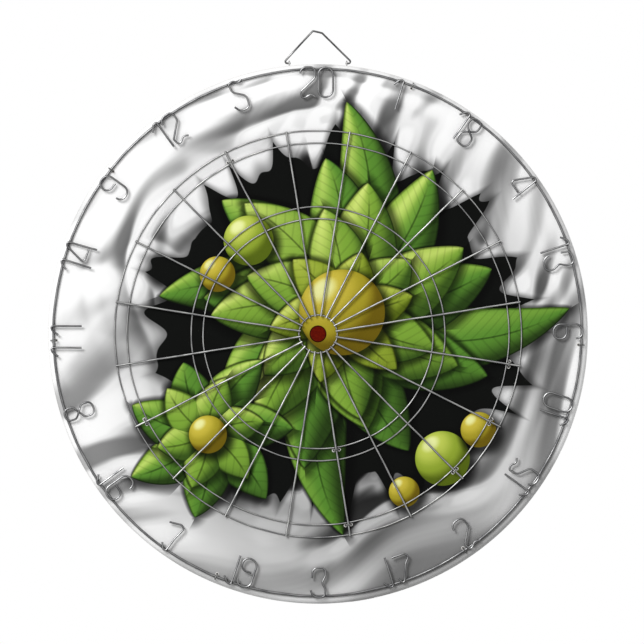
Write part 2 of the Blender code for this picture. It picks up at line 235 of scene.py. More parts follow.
# %% Groups
def new_group(name, kind, inputs, outputs):
    """An empty node group with named sockets: the tree, what it is given, and its last socket."""
    tree = bpy.data.node_groups.new(name, kind)
    for way, sockets in (("INPUT", inputs), ("OUTPUT", outputs)):
        for title, socket_kind, *start in sockets:
            socket = tree.interface.new_socket(title, in_out=way, socket_type="NodeSocket" + socket_kind)
            if start:
                socket.default_value = start[0]
    given = {socket.name: Value(socket) for socket in tree.nodes.new("NodeGroupInput").outputs}
    return tree, given, tree.nodes.new("NodeGroupOutput").inputs[0]


def arrange(tree):
    """Sets the nodes out in columns, with the result on the right."""
    column = {}

    def find(node):
        """The column of a node, one to the right of everything that feeds it."""
        if node not in column:
            before = [link.from_node for socket in node.inputs for link in socket.links]
            column[node] = 1 + max(map(find, before), default=-1)
        return column[node]

    filled = {}
    for node in tree.nodes:
        row = filled.get(find(node), 0)
        node.location = (220 * column[node], -180 * row)
        filled[column[node]] = row + 1


def end_group(result, value):
    """Feeds a group's output, sets its nodes out and gives the group."""
    feed(result, value)
    arrange(result.id_data)
    return result.id_data


print("Group helpers ready")

# %% [markdown]
# ## Starting and ending a finish
#
# Every finish here starts from Blender's Principled shader and from the place of a point on its
# piece. It ends in the same three ways: a colour, a roughness, and small bumps that follow a height.


# %% The start and end of every finish
def start_finish(name, roughness=0.5, specular=0.5):
    """A new finish, its shader node, and where on its piece a point is."""
    made = bpy.data.materials.new(name)
    made.use_nodes = True
    shader = made.node_tree.nodes["Principled BSDF"]
    shader.inputs["Roughness"].default_value = roughness
    shader.inputs["Specular IOR Level"].default_value = specular
    return made, shader, add(made.node_tree, "ShaderNodeTexCoord", output="Object")


def end_finish(shader, colour, roughness, height, strength, depth):
    """Wires a finish up: its colour, its roughness, and bumps of some depth that follow a height."""
    tree = shader.id_data
    bumps = {"Strength": strength, "Distance": depth, "Height": height}
    feed(shader.inputs["Base Color"], colour)
    feed(shader.inputs["Roughness"], roughness)
    feed(shader.inputs["Normal"], add(tree, "ShaderNodeBump", bumps))
    arrange(tree)


print("Finish helpers ready")

# %% [markdown]
# ## Drawn steel wire
#
# Every wire on the board is cold-drawn galvanised steel: grey, with fine lines along it, brighter
# and duller stretches, and flat cut ends. Painted shade darkens its sides, so that its crown, which
# faces out, reads as a highlight.
# The finish needs to know how far along the wire and how far round it a point is. The wires below
# carry both as attributes, `along` in metres and `around` from 0 to 1, so the same finish follows
# any bend.


# %% The steel finish
def drawn_steel(name, dull, bright, smooth=0.38, rough=0.54):
    """Steel wire with lines along it. dull and bright are the greys of its zinc."""
    made, shader, spot = start_finish(name)
    tree = made.node_tree
    along = add(tree, "ShaderNodeAttribute", output="Fac", attribute_name="along")
    turn = add(tree, "ShaderNodeAttribute", output="Fac", attribute_name="around") * math.tau
    lines = noise(vector(tree, along * 90.0, calc("SINE", turn) * 2.2, calc("COSINE", turn) * 2.2), 1.0, 3.0)
    mottle = lines * 0.6 + noise(spot, 75.0, 2.0) * 0.4
    zinc = blend(stretch(mottle, 0.36, 0.64), (*dull, 1), (*bright, 1))
    # Painted light: the crown that faces out keeps its grey, and the sides are painted darker, as shade.
    faces_wall = split(add(tree, "ShaderNodeTexCoord", output="Normal"))[1]
    painted_side_shade = stretch(faces_wall, -0.95, -0.4, 1.0, 0.17)
    colour = blend(1.0, zinc, painted_side_shade, "MULTIPLY")
    end_finish(shader, colour, stretch(mottle, 0.35, 0.65, rough, smooth), lines, 0.25, 0.05 * MM)
    shader.inputs["Metallic"].default_value = 1.0
    return made


spider_steel = drawn_steel("spider_steel", (0.17, 0.17, 0.175), (0.43, 0.43, 0.42), 0.40, 0.58)
number_steel = drawn_steel("number_steel", (0.10, 0.10, 0.105), (0.30, 0.30, 0.30), 0.28, 0.44)
staple_steel = drawn_steel("staple_steel", (0.08, 0.08, 0.08), (0.20, 0.20, 0.195))
hanger_steel = drawn_steel("hanger_steel", (0.02, 0.02, 0.022), (0.26, 0.26, 0.26), 0.24, 0.5)
weld_steel = drawn_steel("weld_steel", (0.08, 0.078, 0.075), (0.20, 0.20, 0.20), 0.35, 0.55)
eye_steel = drawn_steel("eye_steel", (0.35, 0.35, 0.35), (0.70, 0.70, 0.69))
print("Steel finishes:", [m.name for m in bpy.data.materials if m.name.endswith("_steel")])

# %% [markdown]
# ## A wire as a Geometry Nodes tree
#
# A wire is a round section swept along a centre line. That rule is one tree, which every wire piece
# reuses: it spaces points evenly along the line, moves them a little with smooth noise, because no
# hand-bent wire is quite straight, stores `along` and `around`, and sweeps the section. The noise
# depends on the place on the board, not on the wire, so two wires that meet stay together.

# %% The tree that draws a wire
WIRE_INPUTS = (
    ("Diameter", "Float", 1.5 * MM),
    ("Sides", "Int", 10),
    ("Step", "Float", 1.2 * MM),
    ("Waviness", "Float", 0.25 * MM),
    ("Wave Length", "Float", 28 * MM),
    ("Seed", "Float", 4.0),
)
SHAPE = (("Geometry", "Geometry"),)
WAVES_MOSTLY_SIDEWAYS = (4.0, 1.0, 4.0)
MIDDLE_GREY = (0.5, 0.5, 0.5)
QUARTER_TURN = (math.pi / 2, 0, 0)


def marked(shape, name, value):
    """Stores a number on every point of a shape, for a finish to read."""
    inputs = {"Geometry": shape, "Name": name, "Value": value}
    tree = tree_of(shape)
    return add(tree, "GeometryNodeStoreNamedAttribute", inputs, data_type="FLOAT", domain="POINT")


def drawn_wire_tree():
    """The group that turns centre lines into round wire."""
    sockets = (("Curve", "Geometry"), *WIRE_INPUTS)
    tree, given, result = new_group("Drawn wire", "GeometryNodeTree", sockets, (("Mesh", "Geometry"),))
    spaced = {"Curve": given["Curve"], "Length": given["Step"]}
    line = add(tree, "GeometryNodeResampleCurve", spaced, mode="LENGTH")
    place = scaled(add(tree, "GeometryNodeInputPosition"), 1.0 / given["Wave Length"])
    drift = vector_calc("SUBTRACT", noise(vector_calc("ADD", place, given["Seed"]), output=1), MIDDLE_GREY)
    move = scaled(vector_calc("MULTIPLY", drift, WAVES_MOSTLY_SIDEWAYS), given["Waviness"])
    waved = add(tree, "GeometryNodeSetPosition", {"Geometry": line, "Offset": move})
    section = add(tree, "GeometryNodeCurvePrimitiveCircle", {
        "Resolution": given["Sides"], "Radius": given["Diameter"] / 2.0,
    })
    length = add(tree, "GeometryNodeSplineParameter", output="Length")
    factor = add(tree, "GeometryNodeSplineParameter", output="Factor")
    swept = add(tree, "GeometryNodeCurveToMesh", {
        "Curve": marked(waved, "along", length),
        "Profile Curve": marked(section, "around", factor),
        "Fill Caps": True,
    })
    return end_group(result, swept)


drawn_wire = drawn_wire_tree()
print("Drawn wire has the inputs", [s.name for s in drawn_wire.interface.items_tree if s.in_out == "INPUT"])

# %% [markdown]
# ## Wrapping the wire for each use
#
# The spider needs rings, which Blender can draw itself, and twenty equal radials, which are one line
# repeated round the centre. The numbers, the staples and the hanger need a centre line that is bent
# by hand. Each kind gets a small tree round the drawn wire. All of them end in Realize Instances
# and Set Material, so that what comes out is a plain mesh with its finish.


# %% How copies are placed and how a tree ends
def repeated(points, shape, turn=None, **more):
    """Puts a copy of a shape on each point, turned by an angle about the board's axis."""
    tree = tree_of(points)
    inputs = {"Points": points, "Instance": shape, **more}
    if turn:
        about = {"Axis": (0, 1, 0), "Angle": turn}
        inputs["Rotation"] = add(tree, "FunctionNodeAxisAngleToRotation", about)
    return add(tree, "GeometryNodeInstanceOnPoints", inputs)


def end_tree(result, shape, finish):
    """Makes copies real, gives the mesh its finish and sets the tree out."""
    tree = tree_of(shape)
    whole = add(tree, "GeometryNodeRealizeInstances", {0: shape})
    return end_group(result, add(tree, "GeometryNodeSetMaterial", {0: whole, "Material": finish}))


def wire_user(name, own_inputs):
    """A tree with its own inputs and those of the drawn wire, and the function that ends it."""
    sockets = (*SHAPE, *own_inputs, *WIRE_INPUTS, ("Material", "Material"))
    tree, given, result = new_group(name, "GeometryNodeTree", sockets, SHAPE)

    def end(curve, repeat=None):
        """Turns the centre line into wire, repeats it where asked, and ends the tree."""
        inputs = {"Curve": curve, **{title: given[title] for title, *_ in WIRE_INPUTS}}
        wire = add(tree, "GeometryNodeGroup", inputs, node_tree=drawn_wire)
        return end_tree(result, repeat(wire) if repeat else wire, given["Material"])

    return tree, given, end


print("Tree helpers ready")


# %% Trees for rings, radials and bent wires
def ring_tree():
    """A round wire about the board's axis."""
    tree, given, end = wire_user("Wire ring", (("Radius", "Float", 0.1), ("Level", "Float", RING_LEVEL)))
    circle = add(tree, "GeometryNodeCurvePrimitiveCircle", {"Resolution": 256, "Radius": given["Radius"]})
    lift = vector(tree, y=-given["Level"])
    return end(add(tree, "GeometryNodeTransform", {0: circle, "Translation": lift, "Rotation": QUARTER_TURN}))


def radial_tree():
    """One straight wire, repeated round the board's axis, each halfway between two numbers."""
    tree, given, end = wire_user("Radial wires", (
        ("Count", "Int", BEDS), ("Inner", "Float", SCORING_RINGS["bull_ring"]),
        ("Outer", "Float", SCORING_RINGS["double_ring_outer"]), ("Level", "Float", RADIAL_LEVEL),
    ))
    start, stop = [vector(tree, y=-given["Level"], z=given[name]) for name in ("Inner", "Outer")]
    line = add(tree, "GeometryNodeCurvePrimitiveLine", {"Start": start, "End": stop})
    points = add(tree, "GeometryNodePoints", {"Count": given["Count"]})
    turn = (add(tree, "GeometryNodeInputIndex") + 0.5) * math.tau / given["Count"]
    return end(add(tree, "GeometryNodeRealizeInstances", {0: repeated(points, line, turn)}))


def bent_tree():
    """A wire along the edges of the mesh that the tree is given."""
    tree, given, end = wire_user("Bent wire", ())
    return end(add(tree, "GeometryNodeMeshToCurve", {0: given["Geometry"]}))


rings, radials, bent_wire = ring_tree(), radial_tree(), bent_tree()
print("Trees:", [tree.name for tree in bpy.data.node_groups])

# %% [markdown]
# ## Growing a piece from a tree
#
# A tree runs as a modifier on a small source mesh. The export needs plain meshes, so the result is
# copied out, the source is thrown away, and the copy becomes the piece. Its finish, the CAD body it
# rides on and the nodes it stands for are set in the same call.


# %% Growing and finishing pieces
SHARP_EDGE = math.radians(35)


def add_to_scene(name, data):
    """A new object in the scene."""
    made = bpy.data.objects.new(name, data)
    bpy.context.scene.collection.objects.link(made)
    return made


def add_piece(name, mesh, finish, replaced=(), body="board"):
    """Puts a mesh in the scene as a piece, with its finish, body and the nodes it stands for."""
    if finish:
        mesh.materials.clear()
        mesh.materials.append(finish)
    mesh.shade_smooth()
    mesh.set_sharp_from_angle(angle=SHARP_EDGE)
    piece = add_to_scene(name, mesh)
    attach(piece, body)
    if replaced:
        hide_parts(*replaced)
    return piece


def grow(name, source_mesh, tree, sizes, replaced=(), body="board"):
    """Runs a Geometry Nodes tree on a mesh, and makes a piece of the result."""
    source = add_to_scene(name + "_source", source_mesh)
    modifier = source.modifiers.new(tree.name, "NODES")
    modifier.node_group = tree
    for socket in tree.interface.items_tree:
        if socket.in_out == "INPUT" and socket.name in sizes:
            modifier[socket.identifier] = sizes[socket.name]
    ready = source.evaluated_get(bpy.context.evaluated_depsgraph_get())
    mesh = bpy.data.meshes.new_from_object(ready)
    mesh.name = name
    source.modifiers.clear()
    bpy.data.objects.remove(source)
    return add_piece(name, mesh, None, replaced, body)


def path_mesh(name, paths, closed=()):
    """Centre lines as a mesh of edges. closed holds the places of the looped ones."""
    points, edges = [], []
    for number, path in enumerate(paths):
        first = len(points)
        points += [tuple(point) for point in path]
        edges += [(step, step + 1) for step in range(first, len(points) - 1)]
        if number in closed:
            edges.append((len(points) - 1, first))
    mesh = bpy.data.meshes.new(name)
    mesh.from_pydata(points, edges, [])
    return mesh


print("Piece helpers ready")

# %% [markdown]
# ## The spider
#
# The scoring wires are called the spider: five rings, and twenty radials welded across them. The
# real one is made of two wire gauges, the radials being the thicker.

# %% Scoring rings and radial wires
no_mesh = bpy.data.meshes.new("nothing")
for ring_name, ring_radius in SCORING_RINGS.items():
    piece = grow(
        ring_name + "_wire", no_mesh, rings,
        {"Radius": ring_radius, "Level": RING_LEVEL, "Diameter": RING_WIRE, "Material": spider_steel},
        [ring_name],
    )
    print(piece.name, len(piece.data.polygons), "faces")

radial_wires = grow(
    "radial_wires", no_mesh, radials,
    {
        "Count": BEDS, "Inner": SCORING_RINGS["bull_ring"] - RADIAL_OVERHANG,
        "Outer": SCORING_RINGS["double_ring_outer"] + RADIAL_OVERHANG, "Level": RADIAL_LEVEL,
        "Diameter": RADIAL_WIRE, "Step": 1.6 * MM, "Material": spider_steel,
    },
    [f"radial_wire_{number:02d}" for number in range(1, BEDS + 1)],
)
print(radial_wires.name, len(radial_wires.data.polygons), "faces")

# %% [markdown]
# ## The number ring
#
# The ring that carries the numbers was bent and stapled down by hand, so on the real board it is a
# little oval, and sits up and to the left. `by_hand` moves any point of a true ring outwards or
# inwards to where it is on that one. The numbers, their welds and the staples go through it too, so
# they stay on the ring.

# %% Number ring
RING_RISE, RING_DRIFT, RING_OVAL, RING_LONG_WAY = 1.2 * MM, -0.4 * MM, 0.8 * MM, math.radians(52)


def by_hand(point):
    """Moves a point of a true ring to its place on the ring that was bent by hand."""
    angle = math.atan2(point.x, point.z)
    sine, cosine = math.sin(angle), math.cos(angle)
    out = RING_RISE * cosine + RING_DRIFT * sine + RING_OVAL * math.cos(2 * (angle - RING_LONG_WAY))
    return point + Vector((out * sine, 0, out * cosine))


ring_line = [by_hand(on_board(NUMBER_RING_RADIUS, angle, NUMBER_RING_LEVEL)) for angle in range(0, 360, 2)]
number_ring_wire = grow(
    "number_ring_wire", path_mesh("number_ring_line", [ring_line], [0]), bent_wire,
    {"Diameter": NUMBER_RING_WIRE, "Sides": 12, "Material": number_steel},
    ["number_ring"],
)
print(number_ring_wire.name, len(number_ring_wire.data.polygons), "faces")

# %% [markdown]
# ## Bending the numbers
#
# Each number is one or two wires bent on a jig. A digit is a short table of bends. Each bend says
# how far across and up it is, how round it is and whether the wire is lifted there to pass over
# itself, all as shares of the digit's size. `bent` rounds the corners. In the lower half of the
# board the numbers read from the centre.

# %% Tables of bends
DIGIT_WIDTH, NUMERAL_HEIGHT, NUMERAL_REACH = 12.5 * MM, 24.8 * MM, 1.2 * MM
CROSSING_LIFT = 2.0 * MM
NUMBERS = (20, 1, 18, 4, 13, 6, 10, 15, 2, 17, 3, 19, 7, 16, 8, 11, 14, 9, 12, 5)
READ_FROM_CENTRE = (10, 15, 2, 17, 3, 19, 7, 16)
DIGITS = {
    "0": ((0, 0, 0.5), (0, 1, 0.5), (0.98, 1, 0.5), (0.98, 0, 0.5)),
    "1": ((0, 0.79, 0), (0.3, 1, 0.25), (0.59, 1.04, 0.16), (0.6, 0, 0)),
    "footed 1": ((0.6, 1, 0), (0.6, -0.03, 0.2), (0.32, 0, 0.2), (0, 0.2, 0)),
    "2": (
        (0, 0.8, 0), (0.03, 1.02, 0.42), (0.98, 1.02, 0.45), (0.98, 0.66, 0.4), (0.03, 0.2, 0.12),
        (0.12, -0.02, 0.2), (0.36, -0.01, 0.25), (0.7, 0.12, 0.3), (1, 0.02, 0),
    ),
    "3": (
        (0.05, 0.66, 0), (0.14, 1, 0.35), (0.98, 1, 0.4), (0.98, 0.74, 0.3), (0.75, 0.5, 0.15),
        (0.98, 0.28, 0.3), (0.95, 0, 0.5), (0.1, 0, 0.5), (0, 0.25, 0),
    ),
    "4": (
        (1, 0, 0), (0.92, 1.03, 0.15), (0.64, 1.01, 0.15), (0, 0.38, 0.15), (0.09, 0.28, 0.12),
        (0.88, 0.27, 0),
    ),
    "5": (
        (1, 1, 0), (0.72, 0.9, 0.25), (0.4, 1.02, 0.25), (0.06, 0.96, 0.12), (0.14, 0.66, 0.35),
        (0.98, 0.42, 0.35), (0.98, 0, 0.5), (0.3, -0.02, 0.4), (0, 0.17, 0),
    ),
    "6": (
        (0.96, 0.76, 0), (0.9, 0.99, 0.4), (0, 0.97, 0.5), (0, 0, 0.5), (0.98, 0, 0.5), (0.98, 0.44, 0.4),
        (0.2, 0.45, 0),
    ),
    "7": (
        (0, 0.87, 0), (0.8, 1.03, 0.25), (1.06, 0.95, 0.15), (0.94, 0.5, 0.6), (0.92, 0, 0.15),
        (0.7, 0, 0.15), (0.4, 0.18, 0),
    ),
    "slanted 7": (
        (0, 0.91, 0), (0.86, 0.93, 0.25), (1.12, 0.8, 0.12), (0.74, 0.56, 0.6), (0.4, 0.08, 0.2),
        (0.26, -0.02, 0.1), (0, 0.18, 0),
    ),
    "8": (
        (0, 0, 0.4), (0.88, 0, 0.4), (0.88, 0.36, 0.3), (0.6, 0.458, 0.1, 1), (0.28, 0.562, 0.1, 1),
        (0.03, 0.66, 0.3), (0.03, 1, 0.36), (0.85, 1, 0.36), (0.85, 0.66, 0.3), (0, 0.36, 0.3),
    ),
}
DIGITS["9"] = tuple((1 - bend[0], 1 - bend[1], bend[2]) for bend in DIGITS["6"])
OWN_DIGITS = {(number, "1"): "footed 1" for number in READ_FROM_CENTRE} | {(17, "7"): "slanted 7"}
CLOSED_DIGITS = "08"
# Where each digit starts, in digit widths to the right of the middle of its bed
DIGIT_STARTS = {
    20: (-1.18, 0.02), 1: (-0.34,), 18: (-0.96, -0.18), 4: (-0.63,), 13: (-1.14, -0.21), 6: (-0.65,),
    10: (-0.83, 0.12), 15: (-0.83, 0.1), 2: (-0.37,), 17: (-0.99, 0.06), 3: (-0.48,), 19: (-0.96, -0.09),
    7: (-0.64,), 16: (-1.02, 0.02), 8: (-0.45,), 11: (-1.52, -0.06), 14: (-1.1, -0.23), 9: (-0.63,),
    12: (-1.02, -0.19), 5: (-0.62,),
}
print("Bends in each digit:", {digit: len(bends) for digit, bends in DIGITS.items()})


# %% Rounding the corners
SAME_SPOT = 0.05 * MM


def bent(corners, closed=False, step=math.radians(14)):
    """The path of a wire bent at its corners, each a (point, bend radius) pair."""
    path = []
    last = len(corners) - 1
    for place_number, (corner, radius) in enumerate(corners):
        if not closed and place_number in (0, last):
            path.append(corner)
            continue
        before = corners[place_number - 1][0] - corner
        after = corners[(place_number + 1) % len(corners)][0] - corner
        turn = math.pi - before.angle(after)
        # Two bends share the straight between them, and an end bend has all of its straight
        before_share = 1 if not closed and place_number == 1 else 0.5
        after_share = 1 if not closed and place_number == last - 1 else 0.5
        room = min(before.length * before_share, after.length * after_share)
        set_back = min(radius * math.tan(turn / 2), room)
        start, end = corner + before.normalized() * set_back, corner + after.normalized() * set_back
        curve = set_back / math.tan(turn / 2)
        middle = corner + (before.normalized() + after.normalized()).normalized() * (
            curve / math.cos(turn / 2)
        )
        steps = max(1, math.ceil(turn / step))
        for number in range(steps + 1):
            path.append(middle + curve * (start - middle).slerp(end - middle, number / steps))
    return [
        point for number, point in enumerate(path)
        if number == 0 or (point - path[number - 1]).length > SAME_SPOT
    ]


def digit_path(bends, closed, left, foot, angle):
    """One digit as a path on the board, standing at a point left and foot and then turned."""
    turn = math.radians(angle)
    corners = []
    for across, up, radius, *lift in bends:
        x, z = left + across * DIGIT_WIDTH, foot + up * NUMERAL_HEIGHT
        level = NUMERAL_LEVEL + sum(lift) * CROSSING_LIFT
        spot = Vector((
            x * math.cos(turn) + z * math.sin(turn), -level, z * math.cos(turn) - x * math.sin(turn),
        ))
        corners.append((spot, radius * DIGIT_WIDTH))
    return bent(corners, closed)


def number_paths(number):
    """The wires of one number, and which of them are closed."""
    from_centre = number in READ_FROM_CENTRE
    outer = NUMBER_RING_RADIUS + NUMERAL_REACH
    foot = -outer if from_centre else outer - NUMERAL_HEIGHT
    angle = 360 / BEDS * NUMBERS.index(number) - (180 if from_centre else 0)
    paths = []
    for figure, left in zip(str(number), DIGIT_STARTS[number]):
        bends = DIGITS[OWN_DIGITS.get((number, figure), figure)]
        paths.append(digit_path(bends, figure in CLOSED_DIGITS, left * DIGIT_WIDTH, foot, angle))
    closed = [place_number for place_number, figure in enumerate(str(number)) if figure in CLOSED_DIGITS]
    return paths, closed


number_lines = {number: number_paths(number) for number in NUMBERS}
print("Points on the wires of 18:", [len(path) for path in number_lines[18][0]])

# %% The numbers as wires
for number, (paths, closed) in number_lines.items():
    placed = [[by_hand(point) for point in path] for path in paths]
    piece = grow(
        f"number_{number}", path_mesh(f"number_{number}_line", placed, closed), bent_wire,
        {"Diameter": NUMERAL_WIRE, "Step": 0.8 * MM, "Waviness": 0.18 * MM, "Material": number_steel},
        [f"numeral_{number}"],
    )
print("Numbers made:", len(number_lines), "the last with", len(piece.data.polygons), "faces")

# %% [markdown]
# ## Welds
#
# Where two wires cross they are spot welded, which leaves a small flattened bead of steel between
# them. There are about a hundred and sixty, all a little different, so the tree puts one coarse ball
# on each point of a cloud, and turns and sizes each copy by chance, with a fixed seed. Each point of
# the cloud carries the angle that its copy is turned to, as an attribute named `lie`.

# %% The tree of weld beads
SPREAD_OF_ANGLES = 0.35


def lie_of_points(tree):
    """The angle that each point of a cloud carries."""
    return add(tree, "GeometryNodeInputNamedAttribute", {"Name": "lie"}, data_type="FLOAT")


def weld_tree():
    """A coarse flattened ball on each point."""
    sockets = (
        *SHAPE, ("Bead", "Vector"), ("Spread", "Float", 0.25), ("Seed", "Int", 7), ("Material", "Material"),
    )
    tree, given, result = new_group("Weld beads", "GeometryNodeTree", sockets, SHAPE)

    def chance(seed, low, high):
        """A number of its own for each point."""
        return add(tree, "FunctionNodeRandomValue", {"Seed": seed, 2: low, 3: high}, 1, data_type="FLOAT")

    ball = add(tree, "GeometryNodeMeshIcoSphere", {"Radius": 0.5, "Subdivisions": 2})
    size = scaled(given["Bead"], chance(given["Seed"], 1.0 - given["Spread"], 1.0 + given["Spread"]))
    turn = lie_of_points(tree) + chance(given["Seed"] + 1.0, -SPREAD_OF_ANGLES, SPREAD_OF_ANGLES)
    return end_tree(result, repeated(given["Geometry"], ball, turn, Scale=size), given["Material"])


weld_beads = weld_tree()
print("Weld bead nodes:", len(weld_beads.nodes))


# %% Weld beads
def cloud(name, points, lies):
    """Loose points, each with the angle that what stands on it is turned to."""
    mesh = bpy.data.meshes.new(name)
    mesh.from_pydata([tuple(point) for point in points], [], [])
    mesh.attributes.new("lie", "FLOAT", "POINT").data.foreach_set("value", lies)
    return mesh


def ring_crossings(path, closed):
    """Where a path crosses the number ring, as angles in degrees."""
    reach = [math.hypot(point.x, point.z) - NUMBER_RING_RADIUS for point in path]
    found = []
    for here in range(len(path) if closed else len(path) - 1):
        there = (here + 1) % len(path)
        if reach[here] * reach[there] < 0:
            spot = path[here].lerp(path[there], reach[here] / (reach[here] - reach[there]))
            found.append(math.degrees(math.atan2(spot.x, spot.z)))
    return found


between = (RING_LEVEL + RADIAL_LEVEL - (RADIAL_WIRE - RING_WIRE) / 2) / 2
crossing_angles = [360 / BEDS * (number + 0.5) for number in range(BEDS)]
spider_points = [
    (on_board(radius, angle, between), math.radians(angle))
    for radius in SCORING_RINGS.values() for angle in crossing_angles
]
grow(
    "spider_welds", cloud("spider_weld_points", *zip(*spider_points)), weld_beads,
    {"Bead": (2.3 * MM, 1.5 * MM, 1.9 * MM), "Material": weld_steel},
)
ring_angles = [
    angle for paths, closed in number_lines.values()
    for wire_number, path in enumerate(paths) for angle in ring_crossings(path, wire_number in closed)
]
number_level = (NUMBER_RING_LEVEL + NUMERAL_LEVEL) / 2
number_points = [
    (by_hand(on_board(NUMBER_RING_RADIUS, angle, number_level)), math.radians(angle)) for angle in ring_angles
]
grow(
    "number_welds", cloud("number_weld_points", *zip(*number_points)), weld_beads,
    {"Bead": (2.6 * MM, 1.8 * MM, 2.4 * MM), "Seed": 11, "Material": weld_steel},
)
print("Welds on the spider:", len(spider_points), "on the number ring:", len(number_points))

# %% [markdown]
# ## Staples
#
# Six staples hold the number ring down, and seven more hold the spider, each over a radial just
# outside a ring. A staple is a U of thinner wire. The tree starts with a straight line of four
# points and pushes them into a U by their place in the line, rounds the two corners, and puts a copy
# at each point of a cloud, turned as its `lie` says. The staple that goes over the weld of the 11
# stands higher than the others.


# %% The tree of staples
def staple_tree():
    """A U of wire on each point."""
    own = (("Span", "Float", 5 * MM), ("Leg", "Float", 8.5 * MM), ("Corner", "Float", 0.7 * MM))
    tree, given, end = wire_user("Staples", own)
    line = add(tree, "GeometryNodeCurvePrimitiveLine", {"End": (0, 0, 1)})
    four = add(tree, "GeometryNodeResampleCurve", {"Curve": line, "Count": 4}, mode="COUNT")
    number = add(tree, "GeometryNodeInputIndex")
    side = calc("GREATER_THAN", number, 1.5) - 0.5
    is_tip = calc("GREATER_THAN", abs(number - 1.5), 1.0)
    spot = vector(tree, 0.0, is_tip * given["Leg"], side * given["Span"])
    shaped = add(tree, "GeometryNodeSetPosition", {0: four, "Position": spot})
    corners = {0: shaped, "Count": 4, "Radius": given["Corner"], "Limit Radius": True}
    rounded = add(tree, "GeometryNodeFilletCurve", corners, mode="POLY")
    return end(rounded, lambda wire: repeated(given["Geometry"], wire, lie_of_points(tree)))


staples = staple_tree()
print("Staple nodes:", len(staples.nodes))

# %% Staples
LOW_CROWN, HIGH_CROWN = 28.1 * MM, 29.85 * MM
NUMBER_STAPLES = dict.fromkeys((20.8, 92.4, 145.9, 202.8, 268.6, 308.4), LOW_CROWN) | {268.6: HIGH_CROWN}
SPIDER_STAPLES = [(161.6 * MM, angle) for angle in (99, 117, 135, 171, 243, 333)] + [(98.2 * MM, 171)]
NUMBER_STAPLE_SPAN, SPIDER_STAPLE_SPAN = 4.7 * MM, 4.6 * MM
staple_sizes = {
    "Diameter": STAPLE_WIRE, "Step": 0.35 * MM, "Sides": 8, "Waviness": 0.0, "Material": staple_steel,
}
number_spots = [
    (by_hand(on_board(NUMBER_RING_RADIUS, angle, level)), math.radians(angle))
    for angle, level in NUMBER_STAPLES.items()
]
grow(
    "number_ring_staples", cloud("number_staple_points", *zip(*number_spots)), staples,
    {**staple_sizes, "Span": NUMBER_STAPLE_SPAN, "Leg": 8.5 * MM},
    [f"number_ring_staple_{number}" for number in range(1, 7)],
)
over_radial = RADIAL_LEVEL + (RADIAL_WIRE + STAPLE_WIRE) / 2 + 0.1 * MM
spider_spots = [
    (on_board(radius, angle, over_radial), math.radians(angle + 90)) for radius, angle in SPIDER_STAPLES
]
grow(
    "spider_staples", cloud("spider_staple_points", *zip(*spider_spots)), staples,
    {**staple_sizes, "Span": SPIDER_STAPLE_SPAN, "Leg": 9.5 * MM},
)
print("Staples:", len(number_spots), "and", len(spider_spots))

# %% [markdown]
# ## The hanger
#
# A triangle of wire hangs the board on its nail, its flat top a little askew from the bending. Its
# two ends turn inward and swing under two staples driven into the rim. The hanger is a body of its
# own, so it must be a piece of its own.

# %% Hanger and eyes
HANGER_BENDS = (
    (-23.0, 0, 0), (-29.4, 0, 1.6), (-4.4, 27.0, 1.4), (3.4, 25.2, 1.2), (29.2, 0, 1.6), (23.0, 0, 0),
)
EYE_PLACE, EYE_HALF_WIDTH, EYE_LEG, EYE_BEND = 24.0 * MM, 2.1 * MM, 12.5 * MM, 1.2 * MM
PIN_PLAY = 0.3 * MM
hanger_corners = [
    (Vector((across * MM, -HANGER_LEVEL, HANGER_PIVOT + up * MM)), bend * MM)
    for across, up, bend in HANGER_BENDS
]
hanger_wire = grow(
    "hanger_wire", path_mesh("hanger_line", [bent(hanger_corners)]), bent_wire,
    {"Diameter": HANGER_WIRE, "Sides": 12, "Step": 0.7 * MM, "Waviness": 0.12 * MM, "Material": hanger_steel},
    ["hanger"], "hanger",
)
eye_crown = HANGER_PIVOT + (HANGER_WIRE + EYE_WIRE) / 2 + PIN_PLAY
eye_lines = []
for side in (-1, 1):
    corners = [
        (Vector((side * EYE_PLACE, -HANGER_LEVEL - way * EYE_HALF_WIDTH, eye_crown - drop)), bend)
        for way, drop, bend in ((-1, EYE_LEG, 0), (-1, 0, EYE_BEND), (1, 0, EYE_BEND), (1, EYE_LEG, 0))
    ]
    eye_lines.append(bent(corners))
hanger_eyes = grow(
    "hanger_eyes", path_mesh("eye_lines", eye_lines), bent_wire,
    {"Diameter": EYE_WIRE, "Step": 0.4 * MM, "Waviness": 0.0, "Material": eye_steel},
    ["hanger_eye_left", "hanger_eye_right"],
)
print("Hanger and eyes:", len(hanger_wire.data.polygons), len(hanger_eyes.data.polygons), "faces")

# %% [markdown]
# ## The board itself
#
# The body of the board is a disc of tightly wound paper. A printed facing is glued on the front and
# pulled down over the rounded shoulder, a paper tape goes round the rim, and plain paper covers the
# back. All of these are round, so their sections are spun on a lathe, with many more sides than the
# CAD has.


# %% A lathe about the board's axis
def to_mesh(shape, name):
    """A finished shape as a mesh, with its faces pointing outwards."""
    bmesh.ops.recalc_face_normals(shape, faces=shape.faces)
    mesh = bpy.data.meshes.new(name)
    shape.to_mesh(mesh)
    shape.free()
    return mesh


def lathe(name, section, sides=288):
    """A solid turned about the board's axis, from the (radius, level) points of its section."""
    shape = bmesh.new()
    points = [shape.verts.new((radius, -level, 0)) for radius, level in section]
    edges = [shape.edges.new(pair) for pair in zip(points, points[1:])]
    if section[0][0] > 0:
        edges.append(shape.edges.new((points[-1], points[0])))
    bmesh.ops.spin(
        shape, geom=points + edges, cent=(0, 0, 0), axis=(0, 1, 0),
        angle=math.tau, steps=sides, use_merge=True,
    )
    bmesh.ops.remove_doubles(shape, verts=shape.verts, dist=MM / 1000)
    return to_mesh(shape, name)


